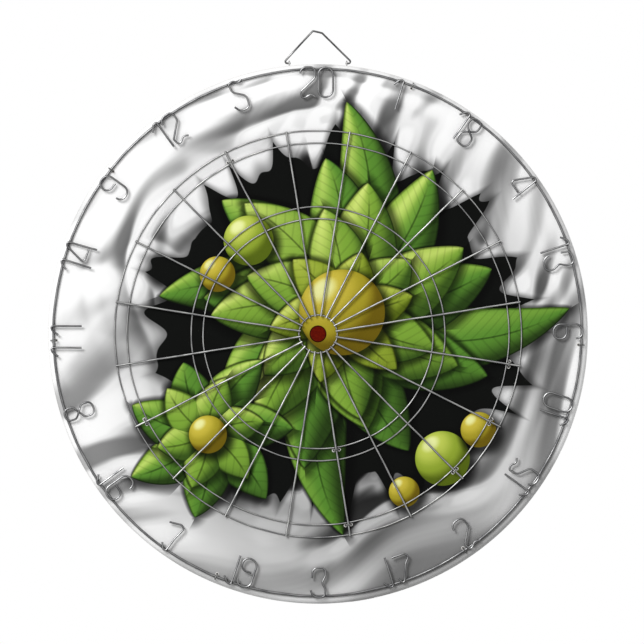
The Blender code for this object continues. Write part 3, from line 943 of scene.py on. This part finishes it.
def quarter_round(radius, level, curve, steps=10):
    """The rounded shoulder, from the flat front to the upright rim."""
    turns = [math.pi / 2 * step / steps for step in range(steps + 1)]
    return [
        (radius - curve + curve * math.sin(turn), level - curve + curve * math.cos(turn)) for turn in turns
    ]


# %% Facing and plug
FACING_RADIUS, FACING_WALL, FACING_FOOT = BOARD_RADIUS - 0.3 * MM, 0.45 * MM, 0.25 * MM
FLAT_RINGS, PLUG_BEVEL, PLUG_FLAT = (40, 90, 140, 190, 220.3), 0.25 * MM, 5.0 * MM
bore = PLUG_RADIUS + GLUE_GAP
outer_skin = quarter_round(FACING_RADIUS, BOARD_DEPTH, SHOULDER_RADIUS)
inner_skin = quarter_round(
    FACING_RADIUS - FACING_WALL, BOARD_DEPTH - PAPER_WALL, SHOULDER_RADIUS - FACING_WALL
)
facing_mesh = lathe("facing", [
    (bore, BOARD_DEPTH), *((radius * MM, BOARD_DEPTH) for radius in FLAT_RINGS), *outer_skin,
    (FACING_RADIUS, FACING_FOOT), (FACING_RADIUS - FACING_WALL, FACING_FOOT),
    *inner_skin[::-1], (bore, BOARD_DEPTH - PAPER_WALL),
])
plug_foot = PAPER_WALL + GLUE_GAP
plug_mesh = lathe("plug", [
    (0, plug_foot), (PLUG_RADIUS, plug_foot), (PLUG_RADIUS, BOARD_DEPTH - PLUG_BEVEL),
    (PLUG_RADIUS - PLUG_BEVEL, BOARD_DEPTH), (PLUG_FLAT, BOARD_DEPTH), (0, BOARD_DEPTH),
], 96)
print("Facing:", len(facing_mesh.polygons), "faces, plug:", len(plug_mesh.polygons))

# %% [markdown]
# ## The tape round the rim
#
# The tape is one strip, a little narrower than the rim, whose end laps over its start. That lap is
# what shows that it is a strip and not a turned ring, so the strip is built station by station, and
# rises by its own thickness in the two degrees before the lap. The backing needs no such care: it is
# turned on the lathe, and low ripples are pressed into it, as glue leaves them.

# %% Rim tape and backing
TAPE_WALL, TAPE_LOW, TAPE_HIGH, TAPE_SLACK = 0.14 * MM, 0.3 * MM, 19 * MM, 0.01 * MM
TAPE_START, TAPE_LAP, TAPE_RISE, TAPE_WAVER = 168, 5, 2, 0.35 * MM
BACKING_RADIUS, RIPPLE_DEPTH, RIPPLE_LENGTH = 224.4 * MM, 0.16 * MM, 30 * MM


def tape_mesh():
    """A strip of tape round the rim, from its start to the end of its lap."""
    shape = bmesh.new()
    stations = []
    for step in range(2 * (360 + TAPE_LAP) + 1):
        angle = TAPE_START + step / 2
        risen = min(1, max(0, (step / 2 - 360 + TAPE_RISE) / TAPE_RISE))
        inner = FACING_RADIUS + TAPE_SLACK + risen * (TAPE_WALL + TAPE_SLACK)
        waver = TAPE_WAVER * math.sin(math.radians(angle * 3)) * math.sin(math.radians(angle * 7.5))
        section = [(radius, TAPE_LOW) for radius in (inner, inner + TAPE_WALL)]
        section += [(radius, TAPE_HIGH + waver) for radius in (inner + TAPE_WALL, inner)]
        stations.append([shape.verts.new(on_board(radius, angle, level)) for radius, level in section])
    for here, there in zip(stations, stations[1:]):
        for side in range(4):
            other = (side + 1) % 4
            shape.faces.new((here[side], here[other], there[other], there[side]))
    for end in (stations[0], stations[-1][::-1]):
        shape.faces.new(end)
    return to_mesh(shape, "tape")


def backing_mesh():
    """The paper on the back, with the low ripples that glue leaves."""
    rings = [(radius * MM, 0.0) for radius in range(8, 224, 6)]
    edge = [(BACKING_RADIUS, 0.0), (BACKING_RADIUS, PAPER_WALL)]
    mesh = lathe("backing", [(0, 0.0), *rings, *edge, (0, PAPER_WALL)], 144)
    for vertex in mesh.vertices:
        if vertex.co.y > -0.1 * MM:
            spot = vertex.co / RIPPLE_LENGTH
            vertex.co.y -= RIPPLE_DEPTH * (0.5 + 0.5 * math.sin(3 * spot.x + 2 * math.sin(2.1 * spot.z)))
    return mesh


tape, backing = tape_mesh(), backing_mesh()
print("Tape:", len(tape.polygons), "faces, backing:", len(backing.polygons))

# %% [markdown]
# ## Paper and paint
#
# Paper is matt, with short fibres that show as fine mottling and a faint tooth. The kraft paper of
# the core is wound in rings, so its layers follow the distance from the axis. The centre plug is
# painted dark red, and darker towards its edge. The core itself is hidden on every side, so
# the CAD piece stays, and only takes its finish.


# %% Paper and paint finishes
def from_axis(spot):
    """The distance of a point from the board's axis."""
    x, _, z = split(spot)
    return calc("SQRT", x * x + z * z)


def paper(name, dark, pale, fibres=2200.0, stains=14.0, wound=0.0, roughness=0.85):
    """Paper of a colour that varies with its fibres and stains, in rings where it is wound."""
    made, shader, spot = start_finish(name, roughness, 0.2)
    wide = noise(spot, stains, 4.0)
    mottle = noise(spot, fibres, 2.0) * 0.45 + wide * 0.55
    if wound:
        layers = {"W": from_axis(spot) * wound, "Scale": 1.0, "Detail": 1.0}
        rings_seen = add(made.node_tree, "ShaderNodeTexNoise", layers, noise_dimensions="1D")
        mottle = mottle * 0.4 + rings_seen * 0.6
    colour = blend(stretch(mottle, 0.3, 0.7), (*dark, 1), (*pale, 1))
    worn = stretch(wide, 0.3, 0.7, roughness - 0.12, roughness)
    end_finish(shader, colour, worn, mottle, 0.35, 0.08 * MM)
    return made


def plug_paint():
    """Dark red paint, worn a little and darker at the edge."""
    made, shader, spot = start_finish("plug_paint", 0.5, 0.03)
    wear = noise(spot, 900.0, 3.0)
    red = blend(stretch(wear, 0.35, 0.7), (0.085, 0.003, 0.0008, 1), (0.125, 0.006, 0.001, 1))
    edge = stretch(from_axis(spot), 5.7 * MM, 6.7 * MM)
    colour = blend(edge, red, (0.03, 0.004, 0.002, 1))
    end_finish(shader, colour, stretch(wear, 0.3, 0.7, 0.4, 0.65), wear, 0.2, 0.05 * MM)
    return made


wound_paper = paper("wound_paper", (0.26, 0.17, 0.09), (0.46, 0.33, 0.20), wound=2600.0)
backing_paper = paper("backing_paper", (0.10, 0.072, 0.046), (0.20, 0.15, 0.10))
tape_paper = paper("tape_paper", (0.60, 0.58, 0.55), (0.80, 0.79, 0.77), stains=22.0, roughness=0.7)
# The dark paper in the staple holes is painted shade, standing for their depth.
painted_hole_shade = paper("painted_hole_shade", (0.02, 0.02, 0.02), (0.07, 0.068, 0.065))
for material_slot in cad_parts["board_core"].material_slots:
    material_slot.material = wound_paper
add_piece("centre_plug", plug_mesh, plug_paint(), ["bull_plug"])
add_piece("back_paper", backing, backing_paper, ["back_sheet"])
add_piece("rim_tape", tape, tape_paper)
print("Finishes so far:", len(bpy.data.materials))

# %% [markdown]
# ## Holes that the staples made
#
# Where a leg goes in, the facing breaks and turns up into a little collar of bare paper round a
# hole. The collar is a short cone without ends, and the hole is a dark disc just under its rim:
# painted shade for the depth of the hole. Both are repeated at every leg that goes into the flat
# front.


# %% Holes
def hole_tree():
    """A collar of torn paper and a dark disc of painted shade on each point."""
    sockets = (
        *SHAPE, ("Radius", "Float", 0.9 * MM), ("Collar", "Float", 0.6 * MM), ("Height", "Float", 0.14 * MM),
        ("Paper", "Material"), ("Dark", "Material"),
    )
    tree, given, result = new_group("Staple holes", "GeometryNodeTree", sockets, SHAPE)
    collar = add(tree, "GeometryNodeMeshCone", {
        "Vertices": 12, "Radius Top": given["Radius"], "Radius Bottom": given["Radius"] + given["Collar"],
        "Depth": given["Height"],
    }, "Mesh", fill_type="NONE")
    round_shape = {"Vertices": 12, "Radius": given["Radius"]}
    flat_disc = add(tree, "GeometryNodeMeshCircle", round_shape, fill_type="TRIANGLE_FAN")
    under_rim = vector(tree, z=given["Height"] * 0.8)
    disc = add(tree, "GeometryNodeTransform", {0: flat_disc, "Translation": under_rim})
    both = tree.nodes.new("GeometryNodeJoinGeometry")
    # The disc takes the Dark finish: painted shade in the hole.
    for shape, finish in ((collar, "Paper"), (disc, "Dark")):
        dressed = {0: shape, "Material": given[finish]}
        feed(both.inputs[0], add(tree, "GeometryNodeSetMaterial", dressed))
    joined = {0: Value(both.outputs[0]), "Rotation": QUARTER_TURN}
    holes_made = repeated(given["Geometry"], add(tree, "GeometryNodeTransform", joined))
    return end_group(result, add(tree, "GeometryNodeRealizeInstances", {0: holes_made}))


FLAT_FRONT = 222 * MM
leg_spots = []
for spots, span in ((number_spots, NUMBER_STAPLE_SPAN), (spider_spots, SPIDER_STAPLE_SPAN)):
    for spot, lie in spots:
        aside = Vector((math.sin(lie), 0, math.cos(lie))) * span / 2
        leg_spots += [Vector((foot.x, -BOARD_DEPTH, foot.z)) for foot in (spot - aside, spot + aside)]
leg_spots = [spot for spot in leg_spots if spot.length < FLAT_FRONT]
grow(
    "staple_holes", cloud("hole_points", leg_spots, [0.0] * len(leg_spots)), hole_tree(),
    {"Paper": tape_paper, "Dark": painted_hole_shade},
)
print("Holes:", len(leg_spots))

# %% [markdown]
# ## The print, part one: satin
#
# The facing is printed with a picture that looks deep: rumpled silver satin, a dark hollow in its
# middle, and green leaves growing out of it. It is drawn by shader nodes, in millimetres on the
# board, X to the right and Y up. Satin is a height with folds of several kinds. Long sweeps and
# lesser folds slant across the cloth, steeper to the right and flatter low down, with faint streaks
# along them. Wraps go round the hollow, and gathers run out from it, both strongest near it. Where
# the cloth falls away from the light it is dark, so the shade of a point is its height less the
# height of the point next to it, a little nearer to the light.

# %% Satin
LIGHT_X, LIGHT_Y, NEARER = -0.64, 0.77, 2.4
WANDERING = 130.0
SWEEP_HEIGHT, LESSER_HEIGHT, STREAK_HEIGHT = 96.0, 27.0, 0.35
WRAP_HEIGHT, WRAP_NEAR_HOLLOW = 8.0, 88.0
GATHER_HEIGHT, GATHER_NEAR_HOLLOW = 4.0, 58.0
CLOTH = (("Point", "Vector"), ("Hollow", "Vector"))


def creased(spot, softness):
    """Noise folded over at its middle: rounded backs with a sharp crease between them."""
    off = noise(spot, detail=0.0) - 0.5
    return calc("SQRT", off * off + softness)


def drawn_out(spot, lengths, start=(0, 0, 0), turn=0.0):
    """Place on a cloth that is drawn out, so that folds run long in one direction."""
    inputs = {"Vector": spot, "Location": start, "Rotation": (0, 0, math.radians(turn)), "Scale": lengths}
    return add(tree_of(spot), "ShaderNodeMapping", inputs, vector_type="TEXTURE")


def satin_height_group():
    """The height of the folds at a point."""
    tree, given, result = new_group("Satin height", "ShaderNodeTree", CLOTH, (("Height", "Float"),))
    drift = vector_calc("SUBTRACT", noise(scaled(given["Point"], 1 / 170), 1.0, 0.4, 1), MIDDLE_GREY)
    warped = vector_calc("ADD", given["Point"], scaled(drift, WANDERING))
    x, y, _ = split(given["Point"])
    steeper = stretch(x, -200.0, 220.0, math.radians(-38), math.radians(-84))
    turn = steeper + stretch(y, -40.0, -260.0, 0.0, math.radians(42))
    turned = add(tree, "ShaderNodeVectorRotate", {"Vector": warped, "Angle": turn}, rotation_type="Z_AXIS")
    sweeps = creased(drawn_out(turned, (260, 76, 260)), 0.004)
    lesser = creased(drawn_out(turned, (190, 42, 190), (40, 90, 7), -24), 0.005)
    streaks = noise(drawn_out(turned, (150, 10, 150)))
    away = vector_calc("SUBTRACT", warped, given["Hollow"])
    reach, compass = vector_calc("LENGTH", away), vector_calc("NORMALIZE", away)
    wraps = creased(vector_calc("ADD", scaled(compass, 0.7), vector(tree, z=reach / 38.0)), 0.002)
    gathers = creased(vector_calc("ADD", scaled(compass, 2.7), vector(tree, z=reach / 110.0)), 0.0008)
    near = stretch(reach, 120.0, 232.0, 1.0, 0.0)
    total = sweeps * SWEEP_HEIGHT + lesser * LESSER_HEIGHT + streaks * STREAK_HEIGHT
    total = total + wraps * (near * WRAP_NEAR_HOLLOW + WRAP_HEIGHT)
    total = total + gathers * (near * GATHER_NEAR_HOLLOW + GATHER_HEIGHT)
    return end_group(result, total)


satin_height = satin_height_group()


def satin_group():
    """Satin with light on it, as a grey between 0 and 1."""
    tree, given, result = new_group("Satin", "ShaderNodeTree", CLOTH, (("Grey", "Float"),))
    heights = []
    for step in (0.0, NEARER):
        spot = vector_calc("ADD", given["Point"], (step * LIGHT_X, step * LIGHT_Y, 0))
        inputs = {"Point": spot, "Hollow": given["Hollow"]}
        heights.append(add(tree, "ShaderNodeGroup", inputs, node_tree=satin_height))
    slope = (heights[0] - heights[1]) / NEARER
    reach = vector_calc("DISTANCE", given["Point"], given["Hollow"])
    light = stretch(slope, -0.85, 0.62) - 0.6
    depth = stretch(reach, 115.0, 225.0, 1.4, 0.62)
    glint = stretch(slope, 0.28, 0.6) * stretch(reach, 130.0, 215.0, 0.16, 0.08)
    shaded = calc("SMOOTH_MIN", light * depth, 0.13, 0.12) + 1.0 + glint
    x, y, _ = split(given["Point"])
    height_up = y + x * 0.12
    fall = stretch(height_up, -235.0, 40.0, 0.68, 0.88)
    low_down = stretch(height_up, -190.0, -30.0, 0.72, 0.82)
    grey = shaded * (stretch(reach, 150.0, 230.0, low_down, 1.09) * fall)
    return end_group(result, calc("SMOOTH_MIN", grey, 0.965, 0.16))


satin = satin_group()
print("Satin nodes:", len(satin.nodes), "and", len(satin_height.nodes))

# %% [markdown]
# ## The print, part two: leaves and fruit
#
# A rosette is one leaf, repeated round a centre. Turning a point back into the first leaf's sector
# needs its angle, rounded to the nearest leaf. From there a leaf is a strip whose half width swells
# and tapers. It is painted as a rounded form: lit on the side that faces the light, dark along its
# midrib and edge, with a soft shadow on whatever is under it. Laying such rings over each other makes
# the plant. A fruit is a painted ball in the same light.

# %% What every layer of the plant shares
COLOURS = (("Dark", "Color"), ("Mid", "Color"), ("Light", "Color"))
LAYER = (("Under", "Color"), ("Point", "Vector"), ("Centre", "Vector"))


def painted(light, given):
    """A colour from dark through mid to light, by how much light there is."""
    low = blend(stretch(light, 0.08, 0.5), given["Dark"], given["Mid"])
    return blend(stretch(light, 0.48, 0.9), low, given["Light"])


def end_layer(result, shown, colour, shade, given):
    """Shows a layer's colour where it is, and what is under it, in its shade, elsewhere."""
    under = blend(1.0, given["Under"], shade, "MULTIPLY")
    return end_group(result, blend(shown, under, colour))


print("Every layer is given", [name for name, *_ in LAYER + COLOURS])

# %% Leaves
LEAF_SIZES = (
    ("Count", 8.0), ("Turn", 0.0), ("Root", 8.0), ("Tip", 80.0), ("Width", 26.0), ("Curl", 0.15),
    ("Unevenness", 0.12), ("Seed", 1.0),
)


def leaf_group():
    """One leaf, repeated round a centre and laid over what is under it."""
    sockets = (*LAYER, *((name, "Float", start) for name, start in LEAF_SIZES), *COLOURS)
    tree, given, result = new_group("Ring of leaves", "ShaderNodeTree", sockets, (("Colour", "Color"),))
    x, y, _ = split(vector_calc("SUBTRACT", given["Point"], given["Centre"]))
    reach = calc("SQRT", x * x + y * y)
    curl = given["Curl"] * (reach / given["Tip"])
    angle = calc("ARCTAN2", x, y) + curl - given["Turn"]
    sector = math.tau / given["Count"]
    leaf_number = calc("ROUND", angle / sector)
    off_middle = angle - leaf_number * sector
    draw = {"W": calc("WRAP", leaf_number, given["Count"], 0.0) + given["Seed"]}
    chance = add(tree, "ShaderNodeTexWhiteNoise", draw, noise_dimensions="1D") * 2.0 - 1.0

    tip = given["Tip"] * (chance * given["Unevenness"] + 1.0)
    up, across = reach * calc("COSINE", off_middle), reach * calc("SINE", off_middle)
    along = (up - given["Root"]) / (tip - given["Root"])
    in_leaf = add(tree, "ShaderNodeClamp", {0: along})
    swell = calc("SINE", in_leaf ** 0.78 * math.pi) ** 0.75
    half = given["Width"] * 0.5 * swell
    off = abs(across)
    beyond = off - half
    there = calc("GREATER_THAN", along, 0.0) * calc("LESS_THAN", along, 1.0)
    shown = stretch(beyond, -0.35, 0.15, 1.0, 0.0) * there

    lies = leaf_number * sector - curl + given["Turn"]
    sine, cosine = calc("SINE", lies), calc("COSINE", lies)
    faces_across = cosine * LIGHT_X - sine * LIGHT_Y
    faces_along = sine * LIGHT_X + cosine * LIGHT_Y
    side = add(tree, "ShaderNodeClamp", {0: across / calc("MAXIMUM", half, 0.05), 1: -1.0, 2: 1.0})
    tilt = side * faces_across * 0.52
    lean = (along - 0.4) * faces_along * 0.42
    light = tilt + 0.5 + lean - abs(side) ** 4.0 * 0.2 + chance * 0.07
    gloss = stretch(light, 0.68, 0.9) * stretch(abs(side), 0.6, 0.95, 1, 0)
    colour = blend(gloss * 0.6, painted(light, given), (0.86, 0.92, 0.52, 1))

    rib = stretch(off, 0.25, 1.2, 1, 0) * stretch(along, 0.7, 0.93, 1, 0)
    veins = stretch(calc("SINE", up * 0.7 - off * 0.6), 0.6, 1.0) * 0.08
    tone = stretch(beyond, -2.4, 0.0, 1.0, 0.5) * stretch(along, 0.0, 0.38, 0.35, 1.0)
    colour = blend(1.0, colour, tone * (1.0 - rib * 0.34) * (1.0 - veins), "MULTIPLY")

    past = calc("MAXIMUM", calc("MAXIMUM", up - tip, given["Root"] - up), 0.0)
    aside = calc("MAXIMUM", beyond, 0.0)
    shadow_reach = 8.0 - calc("SIGN", across) * faces_across * 6.0
    gap = calc("SQRT", past * past + aside * aside) / shadow_reach
    return end_layer(result, shown, colour, stretch(gap, 0.0, 1.0, 0.42, 1.0), given)


leaf_ring = leaf_group()
print("Leaf nodes:", len(leaf_ring.nodes))


# %% Fruit
def fruit_group():
    """A ball, laid over what is under it."""
    sockets = (*LAYER, ("Radius", "Float", 10.0), *COLOURS)
    _, given, result = new_group("Fruit", "ShaderNodeTree", sockets, (("Colour", "Color"),))
    away = vector_calc("SUBTRACT", given["Point"], given["Centre"])
    x, y, _ = split(away)
    reach = vector_calc("LENGTH", away)
    share = reach / given["Radius"]
    rise = calc("SQRT", calc("MAXIMUM", 1.0 - share * share, 0.0))
    toward = (x * (0.72 * LIGHT_X) + y * (0.72 * LIGHT_Y)) / given["Radius"]
    light = toward + rise * 0.69
    bounce = stretch(toward, -0.75, -0.35, 0.22, 0.0)
    glint = stretch(light, 0.9, 0.995, 0.0, 0.8)
    colour = blend(glint, painted(light * 0.92 + bounce, given), (0.93, 0.95, 0.70, 1))
    under_it = vector_calc("ADD", away, (4.0 * LIGHT_X, 4.0 * LIGHT_Y, 0))
    shade = stretch(vector_calc("LENGTH", under_it) - given["Radius"], -2.0, 8.0, 0.3, 1.0)
    return end_layer(result, stretch(reach - given["Radius"], -0.4, 0.1, 1.0, 0.0), colour, shade, given)


fruit = fruit_group()
print("Fruit nodes:", len(fruit.nodes))

# %% [markdown]
# ## The print, part three: composing the picture
#
# Each layer takes the picture under it and gives the picture with itself on top, so the plan below
# is a list from back to front. The colours are written as they are seen, and one Gamma node at the
# end turns them into the light values that a shader needs. The ink itself is satin, neither glossy
# nor quite matt, and smoother in wide patches. Over the shoulder the facing was pulled taut, so the
# ink is paler there.

# %% Colours and layers of the picture
DEEP = {"Dark": (0.16, 0.24, 0.10, 1), "Mid": (0.33, 0.51, 0.19, 1), "Light": (0.58, 0.72, 0.29, 1)}
FRESH = {"Dark": (0.22, 0.32, 0.12, 1), "Mid": (0.46, 0.61, 0.22, 1), "Light": (0.70, 0.79, 0.37, 1)}
LIME = {"Dark": (0.32, 0.38, 0.10, 1), "Mid": (0.53, 0.61, 0.20, 1), "Light": (0.73, 0.78, 0.34, 1)}
OLIVE = {"Dark": (0.40, 0.34, 0.08, 1), "Mid": (0.62, 0.57, 0.17, 1), "Light": (0.78, 0.71, 0.27, 1)}
INSIDE_HOLLOW, SCREEN_GAMMA = (0.06, 0.065, 0.06, 1), 2.2

HOLLOW, HOLLOW_RADIUS, LOBE_SIZE, TEAR_SIZE = (14.0, 8.0, 0.0), 106.0, 50.0, 32.0
ROSETTE, SMALL_ROSETTE = (20.0, 18.0, 0.0), (-92.0, -84.0, 0.0)
PICTURE = (
    (leaf_ring, ROSETTE, DEEP, dict(Count=4, Turn=2.1, Root=20, Tip=174, Width=56, Curl=0.5, Seed=2)),
    (leaf_ring, ROSETTE, DEEP, dict(Count=9, Turn=0.2, Root=20, Tip=128, Width=58, Curl=0.3, Seed=5)),
    (leaf_ring, ROSETTE, FRESH, dict(Count=7, Turn=0.5, Root=14, Tip=110, Width=58, Curl=0.3, Seed=9)),
    (leaf_ring, ROSETTE, FRESH, dict(Count=6, Turn=0.1, Root=8, Tip=82, Width=50, Curl=0.25, Seed=3)),
    (leaf_ring, ROSETTE, LIME, dict(Count=6, Turn=0.5, Root=4, Tip=60, Width=38, Curl=0.2, Seed=4)),
    (leaf_ring, SMALL_ROSETTE, DEEP, dict(Count=7, Turn=0.3, Root=8, Tip=70, Width=40, Curl=-0.3, Seed=6)),
    (leaf_ring, SMALL_ROSETTE, FRESH, dict(Count=6, Turn=0.0, Root=5, Tip=48, Width=32, Curl=-0.3, Seed=8)),
    (fruit, ROSETTE, OLIVE, dict(Radius=36)),
    (fruit, SMALL_ROSETTE, OLIVE, dict(Radius=16)),
    (fruit, (-58.0, 78.0, 0.0), LIME, dict(Radius=21)),
    (fruit, (-84.0, 50.0, 0.0), OLIVE, dict(Radius=15)),
    (fruit, (104.0, -104.0, 0.0), LIME, dict(Radius=23)),
    (fruit, (134.0, -80.0, 0.0), OLIVE, dict(Radius=15)),
    (fruit, (72.0, -132.0, 0.0), OLIVE, dict(Radius=13)),
)


def printed_picture():
    """The facing's print: satin, the hollow torn in it, and the layers of the plan over both."""
    made, shader, spot = start_finish("printed_picture", 0.5, 0.05)
    tree = made.node_tree
    x, _, z = split(spot)
    point = vector(tree, x / MM, z / MM)
    away = vector_calc("SUBTRACT", point, HOLLOW)
    compass = vector_calc("NORMALIZE", away)
    ridge = 1.0 - abs(noise(scaled(compass, 3.2)) - 0.5) * 7.0
    tears = calc("MAXIMUM", ridge, 0.0) ** 1.6
    edge = noise(scaled(compass, 1.5)) * LOBE_SIZE + tears * TEAR_SIZE
    beyond = vector_calc("LENGTH", away) - (edge + HOLLOW_RADIUS)

    cloth = add(tree, "ShaderNodeGroup", {"Point": point, "Hollow": HOLLOW}, node_tree=satin)
    cloth = cloth * stretch(beyond, -2.0, 16.0, 0.55, 1.0)
    on_shoulder = stretch(vector_calc("LENGTH", point), 218.0, 223.0, 0.0, 0.4)
    cloth = cloth + (0.97 - cloth) * on_shoulder
    picture = blend(stretch(beyond, -0.5, 0.5), INSIDE_HOLLOW, cloth)
    for group, centre, colours, sizes in PICTURE:
        inputs = {"Under": picture, "Point": point, "Centre": centre, **colours, **sizes}
        picture = add(tree, "ShaderNodeGroup", inputs, node_tree=group)
    seen = add(tree, "ShaderNodeGamma", {0: picture, 1: SCREEN_GAMMA})
    scuffs = stretch(noise(spot, 30.0, 5.0), 0.3, 0.7, 0.45, 0.62)
    end_finish(shader, seen, scuffs, noise(spot, 1500.0, 3.0), 0.15, 0.04 * MM)
    return made


add_piece("printed_face", facing_mesh, printed_picture(), ["front_sheet"])
print("Layers in the picture:", len(PICTURE))

# %% [markdown]
# ## Camera, lamps and floor
#
# The photograph is straight from the front, with parallel edges, so the camera is orthographic. Its
# width follows from the size of the doubles ring in the picture. One soft lamp up and to the left
# gives the wires their short shadows, the pale world fills them, and a weak lamp behind lights the
# back. The world is pure white only for the camera, for reflections and through clear things.


# %% Camera
VIEW_WIDTH, VIEW_RIGHT, VIEW_UP, VIEW_DISTANCE = 538 * MM, 3.34 * MM, 9.94 * MM, 2.0
camera = add_to_scene("camera", bpy.data.cameras.new("camera"))
camera.data.type = "ORTHO"
camera.data.ortho_scale = VIEW_WIDTH
camera.location = (VIEW_RIGHT, -VIEW_DISTANCE, VIEW_UP)
camera.rotation_euler = QUARTER_TURN
bpy.context.scene.camera = camera
print("Camera covers", camera.data.ortho_scale, "m")


# %% Lamps and world
def lamp(name, spot, watts, size):
    """A round soft lamp that shines at the middle of the board."""
    data = bpy.data.lights.new(name, "AREA")
    data.shape, data.size, data.energy = "DISK", size, watts
    made = add_to_scene(name, data)
    made.location = spot
    made.rotation_euler = (-Vector(spot)).to_track_quat("-Z", "Y").to_euler()


lamp("key_lamp", (-2.12, -3.22, 2.12), 149.0, 2.0)
lamp("back_lamp", (1.1, 1.7, 1.2), 12.0, 1.0)

FILL = 0.38
world = bpy.data.worlds.new("pale_room")
world.use_nodes = True
sky = world.node_tree
seen = [
    add(sky, "ShaderNodeLightPath", output=f"Is {ray} Ray") for ray in ("Camera", "Glossy", "Transmission")
]
seen_white = calc("MAXIMUM", calc("MAXIMUM", seen[0], seen[1]), seen[2])
background = sky.nodes["Background"]
background.inputs["Color"].default_value = (1, 1, 1, 1)
feed(background.inputs["Strength"], seen_white * (1 - FILL) + FILL)
arrange(sky)
bpy.context.scene.world = world
bpy.context.scene.view_settings.view_transform = "Standard"
print("Lamps:", [thing.name for thing in bpy.data.lights])

# %% Floor
FLOOR_REACH = 4.0
floor_mesh = bpy.data.meshes.new("floor")
floor_level = cad_low.z - 0.1 * MM
corners = [(x * FLOOR_REACH, y * FLOOR_REACH, floor_level) for x, y in ((-1, -1), (1, -1), (1, 1), (-1, 1))]
floor_mesh.from_pydata(corners, [], [(0, 1, 2, 3)])
floor = add_to_scene("floor", floor_mesh)
pale, pale_shader, _ = start_finish("pale_floor", 0.7)
pale_shader.inputs["Base Color"].default_value = (0.74, 0.74, 0.74, 1)
floor_mesh.materials.append(pale)
